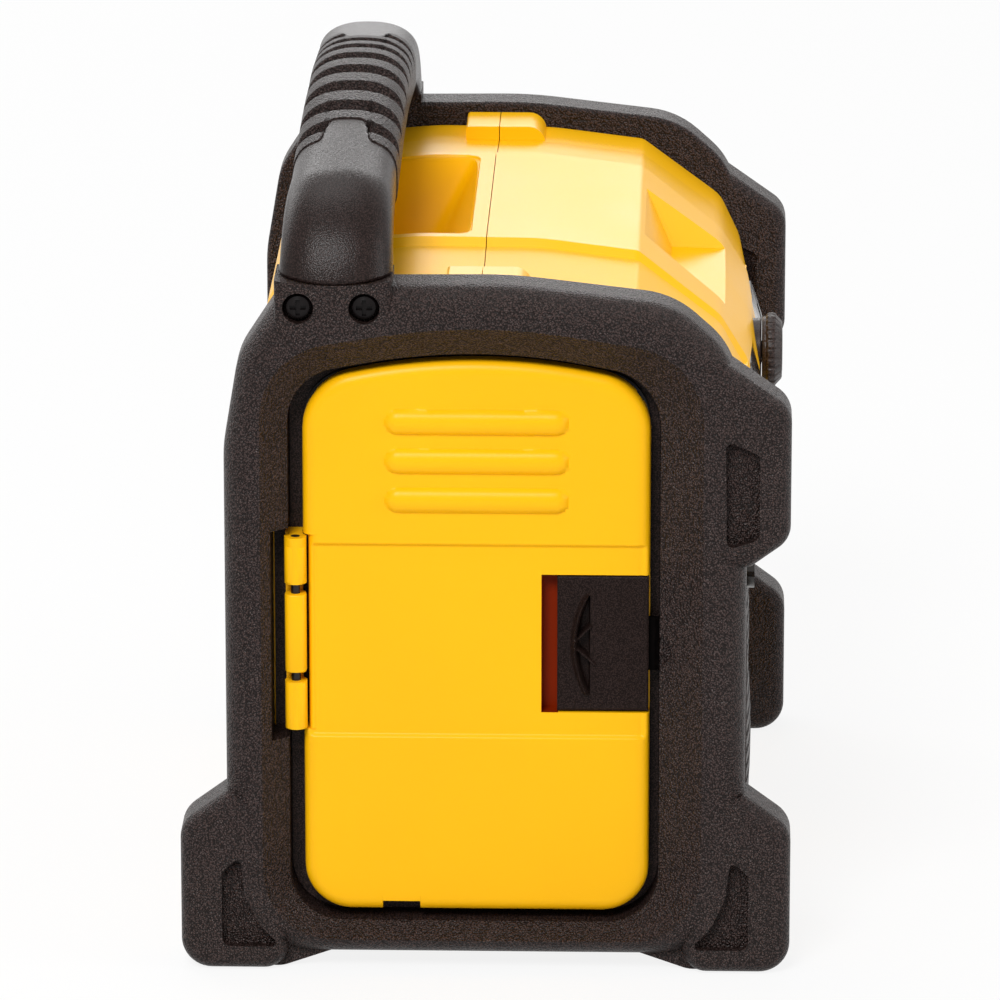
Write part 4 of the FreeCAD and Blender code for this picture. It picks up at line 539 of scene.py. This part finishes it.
low_lift = corner_drop(door_cols) + FOOT_NICK_HIGH * foot_nick
high_drop = door_top(door_cols) - corner_drop(door_cols) - DOOR_Z[1]
LOW_SPREAD, HIGH_START = 0.050, 0.1480
low_share = np.clip(1.0 - (door_rows - DOOR_Z[0]) / LOW_SPREAD, 0.0, 1.0)[:, None] ** 2
high_share = np.clip((door_rows - HIGH_START) / (DOOR_Z[1] - HIGH_START), 0.0, 1.0)[:, None] ** 2
door_z = door_rows[:, None] + low_share * low_lift + high_share * high_drop
nicked = ((door_rows > HINGE_NICK[0]) & (door_rows < HINGE_NICK[1]))[:, None]
front_out = door_face(door_y, door_z)
door_y = door_y - NICK_DEEP * nicked * np.clip((door_y - NICK_FROM) / NICK_OVER, 0.0, 1.0)
rim_near = np.minimum(door_y - DOOR_Y[0], DOOR_Y[1] - door_y) < DOOR_SKIN
rim_near = rim_near | (door_z < DOOR_Z[0] + DOOR_SKIN) | (door_z > door_top(door_y) - DOOR_SKIN - RIM_MORE)
back_out = np.minimum(front_out - DOOR_SKIN, np.where(rim_near, -DOOR_BACK, -DOOR_SKIN - BAND_DEEP))
front_points = np.stack([DOOR_X - front_out, door_y, door_z], axis=-1)
back_points = np.stack([DOOR_X - back_out, door_y, door_z], axis=-1)
door = surface("door_moulding", between(front_points, back_points), door_yellow, "storage_door", crease=38.0)
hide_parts("storage_door")

# Latch well. The pocket beside the latch, where a finger pushes, lies in the door's own shade. Its faces get
# the same plastic painted a deep red-brown, as painted shade.
WELL_TOP, WELL_BELOW, WELL_SIDE = 0.0004, 0.0003, 0.0002
well_painted_shade = yellow_moulding("well_painted_shade", 0.05, colour=(0.21, 0.016, 0.0006))
door.data.materials.append(well_painted_shade.material)
face_middle = np.empty(len(door.data.polygons) * 3)
door.data.polygons.foreach_get("center", face_middle)
face_x, face_y, face_z = face_middle.reshape(-1, 3).T
in_well = (face_x > DOOR_X + WELL_TOP) & (face_x < DOOR_X + WELL_DEEP + WELL_BELOW)
in_well &= np.abs(face_y - SLOT_Y + WELL_WIDE / 2) < WELL_WIDE / 2 + WELL_SIDE
in_well &= (face_z > SLOT_Z[0] - WELL_SIDE) & (face_z < SLOT_Z[1] + WELL_SIDE)
door.data.polygons.foreach_set("material_index", in_well.astype(np.int32))

# Hinge. Two fixed yellow knuckles on the bay's leaf and one on the door turn on a dark steel pin. They are as
# wide as the gap beside the door, and the pin shows in a small window at each joint. The knob's shaft is of
# the same steel.
PIN_X, PIN_Y, KNUCKLE = -0.1290, 0.0612, 0.0035
KNUCKLE_RUNS = {"hinge_upper": (0.1302, 0.1425, "radio"), "hinge_middle": (0.1002, 0.1264, "storage_door"),
                "hinge_lower": (0.0810, 0.0967, "radio")}
KNUCKLE_END, KNUCKLE_CROWN = np.array([0.0, 0.0001, 0.0005]), np.array([0.88, 0.95, 1.0])


def knuckle_wall(low, high):
    """Points of a knuckle's wall from height low to high.

    Each row is a superellipse of power 3 round the pin: KNUCKLE times the sine and cosine to the power 2/3.
    The last rows at both ends draw in by KNUCKLE_CROWN about the row's middle.
    """
    around = np.linspace(0.0, 2.0 * math.pi, 48, endpoint=False)
    x = np.sign(np.sin(around)) * np.abs(np.sin(around)) ** (2.0 / 3.0) * KNUCKLE
    y = np.sign(np.cos(around)) * np.abs(np.cos(around)) ** (2.0 / 3.0) * KNUCKLE
    outline = np.stack([PIN_X + x, PIN_Y + y], axis=-1)
    middle = outline.mean(axis=0)
    rows = np.concatenate([low + KNUCKLE_END, high - KNUCKLE_END[::-1]])
    crown = np.concatenate([KNUCKLE_CROWN, KNUCKLE_CROWN[::-1]])
    plan = middle + (outline - middle)[None] * crown[:, None, None]
    height = np.broadcast_to(rows[:, None, None], plan.shape[:2] + (1,))
    return np.concatenate([plan, height], axis=-1)


for name, (low, high, body) in KNUCKLE_RUNS.items():
    knuckle = surface(name, capped(knuckle_wall(low, high)), door_yellow, body, crease=50.0)
    if body == "storage_door":
        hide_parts("storage_door")
pin_dark = Finish("pin_dark", Metallic=0.6)
drawn = pin_dark.noise(1500.0, at=pin_dark.stretched(1.0, 1.0, 0.1))
pin_dark.paint(Base_Color=pin_dark.blend(drawn, (0.012, 0.010, 0.010), (0.028, 0.025, 0.025)),
               Roughness=0.3 + 0.1 * drawn)
dress(pin_dark, "hinge_pin", "knob_shaft")
dress(door_yellow, "hinge_leaf")

# Far end panel. A fixed yellow moulding stands in the door's place at the far end, with the door's ribs and
# band. It has the door's plastic and is screwed to the body.
dress(door_yellow, "right_end_panel")

# Latch slide. A flat black moulding in the door's slot, with a bowed finger pull that stands proud. Behind the
# bow are three hollows with two slanting ribs between them.
latch_black = pebble_black("latch_black", 2600.0, 0.00004, 0.40, gloss=0.09, painted_glint=0.02, painted_crest_light=0.45)
LATCH_BACK, LATCH_FACE, LATCH_Y, LATCH_Z = -0.1243, -0.1283, (-0.0526, -0.0231), (0.0870, 0.1325)
BOW_Z, BOW_HALF, BOW_LEFT, BOW_BEND, BOW_RIGHT = 0.1095, 0.0172, -0.0286, 0.0044, -0.0336
RIDGE_HIGH, RIDGE_WIDE, HOLLOW_DEEP, SLANT_HIGH, EDGE_ROUND = 0.0030, 0.00085, 0.0030, 0.0011, 0.0004
BOW_FADE, HOLLOW_LEFT, HOLLOW_RIGHT = 0.06, (0.0006, 0.0011), (-0.0001, 0.0003)
SLANT_SIDE, EDGE_OVER = (0.0003, 0.0007), 0.0006
UPPER_SLANT = ((-0.0292, 0.1110), (-0.0338, 0.1155))
LOWER_SLANT = ((-0.0292, 0.1085), (-0.0352, 0.1028))


def segment_distance(y, z, start, end):
    """Distance from a line segment: the foot of the point is kept between the segment's ends."""
    run = (end[0] - start[0], end[1] - start[1])
    part = ((y - start[0]) * run[0] + (z - start[1]) * run[1]) / (run[0] ** 2 + run[1] ** 2)
    part = np.clip(part, 0.0, 1.0)
    return np.hypot(y - start[0] - part * run[0], z - start[1] - part * run[1])


def latch_face(y, z):
    """The slide's relief: a bell-shaped ridge along a parabola, hollows to its right, and two slanting ribs."""
    up = (z - BOW_Z) / BOW_HALF
    ridge_y = BOW_LEFT - BOW_BEND * up ** 2
    live = step(1.0 - np.abs(up), 0.0, BOW_FADE)
    ridge = RIDGE_HIGH * np.exp(-((y - ridge_y) / RIDGE_WIDE) ** 2) * live
    inner = step(ridge_y - y, *HOLLOW_LEFT) * step(y - BOW_RIGHT, *HOLLOW_RIGHT) * live
    slants = np.minimum(segment_distance(y, z, *UPPER_SLANT), segment_distance(y, z, *LOWER_SLANT))
    rib = 1.0 - step(slants, *SLANT_SIDE)
    edge = np.minimum(np.minimum(y - LATCH_Y[0], LATCH_Y[1] - y), np.minimum(z - LATCH_Z[0], LATCH_Z[1] - z))
    rounded = EDGE_ROUND * (1.0 - step(edge, 0.0, EDGE_OVER))
    return ridge - HOLLOW_DEEP * inner * (1.0 - rib) + SLANT_HIGH * rib - rounded


def latch_block(name, y, z, face_x, finish):
    """A closed block of the latch on a grid of (y, z): its face at face_x and its back at LATCH_BACK."""
    face = np.stack([face_x, y, z], axis=-1)
    back = np.stack([np.full(y.shape, LATCH_BACK), y, z], axis=-1)
    piece = surface(name, between(face, back), finish, "door_latch", crease=40.0)
    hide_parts("door_latch")


latch_y, latch_z = np.meshgrid(np.linspace(*LATCH_Y, 120), np.linspace(*LATCH_Z, 180))
latch_block("latch_slide", latch_y, latch_z, LATCH_FACE - latch_face(latch_y, latch_z), latch_black)

# Latch bolt. A thin black tongue of the slide, chamfered at its nose, lies sunk in the band and reaches
# towards the frame. It is duller than the slide, painted near-black as painted shade for the gap it lies in,
# and worn a little where it rubs.
BOLT_FACE, BOLT_Y, BOLT_Z = -0.1253, (-0.0559, -0.0524), (0.1000, 0.1180)
NOSE_FROM, NOSE_OVER, NOSE_CUT = -0.0545, 0.0012, 0.0006
bolt_painted_shade = Finish("bolt_painted_shade", Specular_IOR_Level=0.03)
worn = bolt_painted_shade.noise(500.0).rising(0.4, 0.7)
bolt_painted_shade.paint(Base_Color=bolt_painted_shade.blend(worn, (0.0015, 0.0010, 0.0010), (0.003, 0.002, 0.002)),
                Roughness=0.6 + 0.1 * worn)
bolt_y, bolt_z = np.meshgrid(np.linspace(*BOLT_Y, 8), np.linspace(*BOLT_Z, 30))
bolt_nose = BOLT_FACE + NOSE_CUT * step(NOSE_FROM - bolt_y, 0.0, NOSE_OVER)
latch_block("latch_bolt", bolt_y, bolt_z, bolt_nose, bolt_painted_shade)

# Storage bay. A black moulded tub behind the door, with a shelf, a sound socket and a covered coin cell. Its
# rim is clamped between the near frame and the body.
bay_black = pebble_black("bay_black", 2300.0, 0.00006, 0.45, gloss=0.2, painted_glint=0.08)
dress(bay_black, "storage_bay", "cell_cover", "aux_jack")


# Door seal. A soft black rubber ring is pressed into the bay's rim, and the closed door rests on it.
# Rubber is moulded with a very fine orange peel, and in time gets a paler bloom in patches.
def soft_rubber(name, colour, rough):
    """Moulded rubber: a bloom that lightens it in patches, and a very fine orange peel."""
    finish = Finish(name, Specular_IOR_Level=0.3)
    bloom = finish.noise(120.0, 3.0, 0.6).rising(0.35, 0.75)
    peel = finish.noise(2800.0, 1.0)
    bloomed = tuple(c * 1.4 + 0.004 for c in colour)
    finish.paint(Base_Color=finish.blend(bloom, colour, bloomed), Roughness=rough + 0.1 * peel)
    finish.relief(peel, 0.00002)
    return finish


seal_rubber = soft_rubber("seal_rubber", (0.012, 0.012, 0.012), 0.6)
dress(seal_rubber, "door_seal")


# Fasteners and small steel parts. Blacked cross-head screws hold the handle, panels and trims, and plated ones
# the frames, speakers and boards. The sockets' shells, pins and coin cell are plated too.
def coated_steel(name, colour, rough, metallic=1.0, gloss=0.5):
    """Plated or blacked steel: fine upright streaks from finishing and a slightly uneven coat."""
    finish = Finish(name, Metallic=metallic, Specular_IOR_Level=gloss)
    marks = finish.noise(900.0, rough=0.6, at=finish.stretched(1.0, 1.0, 0.25))
    coat = finish.noise(160.0).rising(0.3, 0.7)
    darker = tuple(c * 0.72 for c in colour)
    finish.paint(Base_Color=finish.blend(coat, darker, colour), Roughness=rough + 0.12 * marks)
    finish.relief(marks, 0.000012)
    return finish


screw_black = coated_steel("screw_black", (0.008, 0.006, 0.006), 0.16, 0.0, 0.12)
screw_plain = coated_steel("screw_plain", (0.56, 0.56, 0.55), 0.24)
dress(screw_black, "handle_screws", "panel_screws", "housing_screws", "dock_screws", "trim_screws")
dress(screw_plain, "frame_screws", "speaker_screws", "board_screws", "usb_socket", "clock_cell",
      "inlet_pins", "knob_encoder")

# Circuit boards. Three glass-fibre boards with copper tracks under a green mask are screwed inside the body.
# The tracks run at right angles and stand a little proud and paler.
board_green = Finish("board_green", Specular_IOR_Level=0.5)
tracks = board_green.node("ShaderNodeTexBrick", {"offset": 0.35, "squash": 1.4, "squash_frequency": 3},
                          {"Vector": board_green.place(), "Scale": 130.0, "Mortar Size": 0.09,
                           "Color1": (0.0, 0.0, 0.0), "Color2": (0.0, 0.0, 0.0), "Mortar": (1.0, 1.0, 1.0)})
board_green.paint(Base_Color=board_green.blend(tracks * 0.7, (0.010, 0.085, 0.030), (0.040, 0.190, 0.060)),
                  Roughness=0.28 + 0.12 * board_green.noise(700.0))
board_green.relief(tracks, 0.00004)
dress(board_green, "jack_board", "main_board", "power_board")

# Control panel. A glossy black bezel carries a smoked window over a pale display, and eight soft keys on one
# rubber pad.
panel_gloss = Finish("panel_gloss", Specular_IOR_Level=0.5)
smears = panel_gloss.noise(60.0, 3.0, 0.6).rising(0.4, 0.7)
dust = panel_gloss.noise(1900.0, 1.0).rising(0.66, 0.76)
panel_gloss.paint(Base_Color=panel_gloss.blend(dust * 0.25, (0.010, 0.010, 0.011), (0.06, 0.06, 0.06)),
                  Roughness=0.10 + 0.10 * smears + 0.25 * dust)
dress(panel_gloss, "control_panel")
window_clear = Finish("window_clear", Transmission_Weight=0.92, IOR=1.49, Roughness=0.03)
tint = window_clear.noise(40.0).rising(0.2, 0.8)
window_clear.paint(Base_Color=window_clear.blend(tint, (0.42, 0.47, 0.46), (0.50, 0.55, 0.54)))
dress(window_clear, "display_window")
display_grey = Finish("display_grey", Specular_IOR_Level=0.4)
dots = display_grey.node("ShaderNodeTexBrick", {"offset": 0.0},
                         {"Vector": display_grey.place(), "Scale": 900.0, "Mortar Size": 0.03,
                          "Brick Width": 1.0, "Row Height": 1.0,
                          "Color1": (1.0, 1.0, 1.0), "Color2": (0.9, 0.9, 0.9), "Mortar": (0.0, 0.0, 0.0)})
backlight = display_grey.noise(30.0).rising(0.3, 0.7)
lit = display_grey.blend(dots * 0.5 + 0.25 * backlight, (0.20, 0.24, 0.19), (0.36, 0.42, 0.33))
display_grey.paint(Base_Color=lit, Roughness=0.35 + 0.1 * dots)
dress(display_grey, "display_module")
key_rubber = soft_rubber("key_rubber", (0.040, 0.040, 0.041), 0.5)
dress(key_rubber, "button_pad", "power_button", "mode_button", "seek_up_button", "seek_down_button",
      "preset_1_button", "preset_2_button", "preset_3_button", "preset_4_button")

# Tuning knob. A black moulded knob, pressed on the encoder's shaft, with a bevelled cap, flutes round its side
# and a narrower plain base that nearly meets the body.
KNOB_Z, KNOB_CAP, FLUTES, FLUTE_DEEP, FLUTE_POWER = 0.1733, -0.0960, 24.0, 0.00055, 0.6
knob_black = pebble_black("knob_black", 2600.0, 0.00004, 0.30, gloss=0.3, painted_glint=0.06)
knob_turn = np.linspace(0.0, 2.0 * math.pi, 288, endpoint=False)[None, :]
# One row for each ring of the knob: how far it lies behind the cap, its radius, and its share of the flutes' depth.
KNOB_PROFILE = np.array([
    (0.0, 0.0, 0.0), (0.0, 0.0070, 0.0), (0.0002, 0.0076, 0.0), (0.0002, 0.0082, 0.0), (0.0001, 0.0092, 0.0),
    (0.0004, 0.0098, 0.0), (0.0022, 0.0118, 0.4), (0.0025, 0.01225, 1.0), (0.0028, 0.0124, 1.0),
    (0.0046, 0.0124, 1.0), (0.0050, 0.0123, 1.0), (0.0053, 0.0119, 0.5), (0.0056, 0.0113, 0.0),
    (0.0064, 0.0112, 0.0), (0.0068, 0.0109, 0.0), (0.0068, 0.0, 0.0)])
behind, radius, fluted = KNOB_PROFILE.T[:, :, None]


def turned(radius, y, angle):
    """Points round the knob's axis: the radius times the angle's cosine along x, and times its sine up."""
    return np.stack(np.broadcast_arrays(radius * np.cos(angle), y, KNOB_Z + radius * np.sin(angle)), axis=-1)


# A flute is the positive half of a cosine, FLUTES to a turn, to a power that flattens it.
flute = FLUTE_DEEP * fluted * np.clip(np.cos(FLUTES * knob_turn), 0.0, 1.0) ** FLUTE_POWER
knob_points = turned(radius - flute, behind + KNOB_CAP, knob_turn)
knob = surface("knob_moulding", knob_points, knob_black, "knob", crease=42.0)
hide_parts("tuning_knob")

# Knob seat. A short black ring round the shaft, let into the body's neck, closes the gap behind the knob.
# It is moulded like the knob, with a small chamfer at its front edge. Its rows run backwards, so that its
# faces point outwards.
SEAT_BORE, SEAT_RADIUS, SEAT_BACK, SEAT_FRONT, SEAT_CHAMFER = 0.0034, 0.0106, -0.0855, -0.0889, 0.0004
seat_r = np.array([SEAT_BORE, SEAT_BORE, SEAT_RADIUS - SEAT_CHAMFER, SEAT_RADIUS, SEAT_RADIUS])[None, :]
seat_y = np.array([SEAT_BACK, SEAT_FRONT, SEAT_FRONT, SEAT_FRONT + SEAT_CHAMFER, SEAT_BACK])[None, :]
seat_turn = np.linspace(2.0 * math.pi, 0.0, 97)[:, None]
seat_ring = surface("knob_seat", turned(seat_r, seat_y, seat_turn), knob_black, "radio", crease=42.0)

# Speakers. Domed black grilles cover two pressed paper cones in steel baskets with ferrite magnets. They are
# screwed to the front shell, and the transformer and aerial rod inside share their steel and ferrite.
grille_black = pebble_black("grille_black", 2100.0, 0.00008, 0.36, gloss=0.25, painted_glint=0.12)
dress(grille_black, "speaker_grille_left", "speaker_grille_right")
cone_paper = Finish("cone_paper", Specular_IOR_Level=0.15)
fibre = cone_paper.noise(900.0, 4.0, 0.7)
pulp = cone_paper.blend(fibre.rising(0.35, 0.7), (0.018, 0.018, 0.019), (0.050, 0.049, 0.048))
cone_paper.paint(Base_Color=pulp, Roughness=0.75 + 0.2 * fibre)
cone_paper.relief(fibre, 0.00008)
dress(cone_paper, "speaker_cone_left", "speaker_cone_right")
basket_steel = coated_steel("basket_steel", (0.050, 0.050, 0.052), 0.34, 0.7)
dress(basket_steel, "speaker_basket_left", "speaker_basket_right", "transformer")
ferrite = coated_steel("ferrite", (0.060, 0.058, 0.060), 0.50, 0.3)
dress(ferrite, "speaker_magnet_left", "speaker_magnet_right", "ferrite_antenna")

# Battery dock and mains inlet. Black mouldings are screwed into the rear shell. The dock's contacts are brass,
# and an aluminium cooler stands behind it.
dock_black = pebble_black("dock_black", 1900.0, 0.00010, 0.36, gloss=0.25, painted_glint=0.15)
dress(dock_black, "battery_dock", "terminal_block", "power_inlet")
dress(coated_steel("contact_metal", (0.72, 0.52, 0.22), 0.20), "dock_contacts")
dress(coated_steel("cooler_alloy", (0.62, 0.63, 0.64), 0.32), "heat_sink")
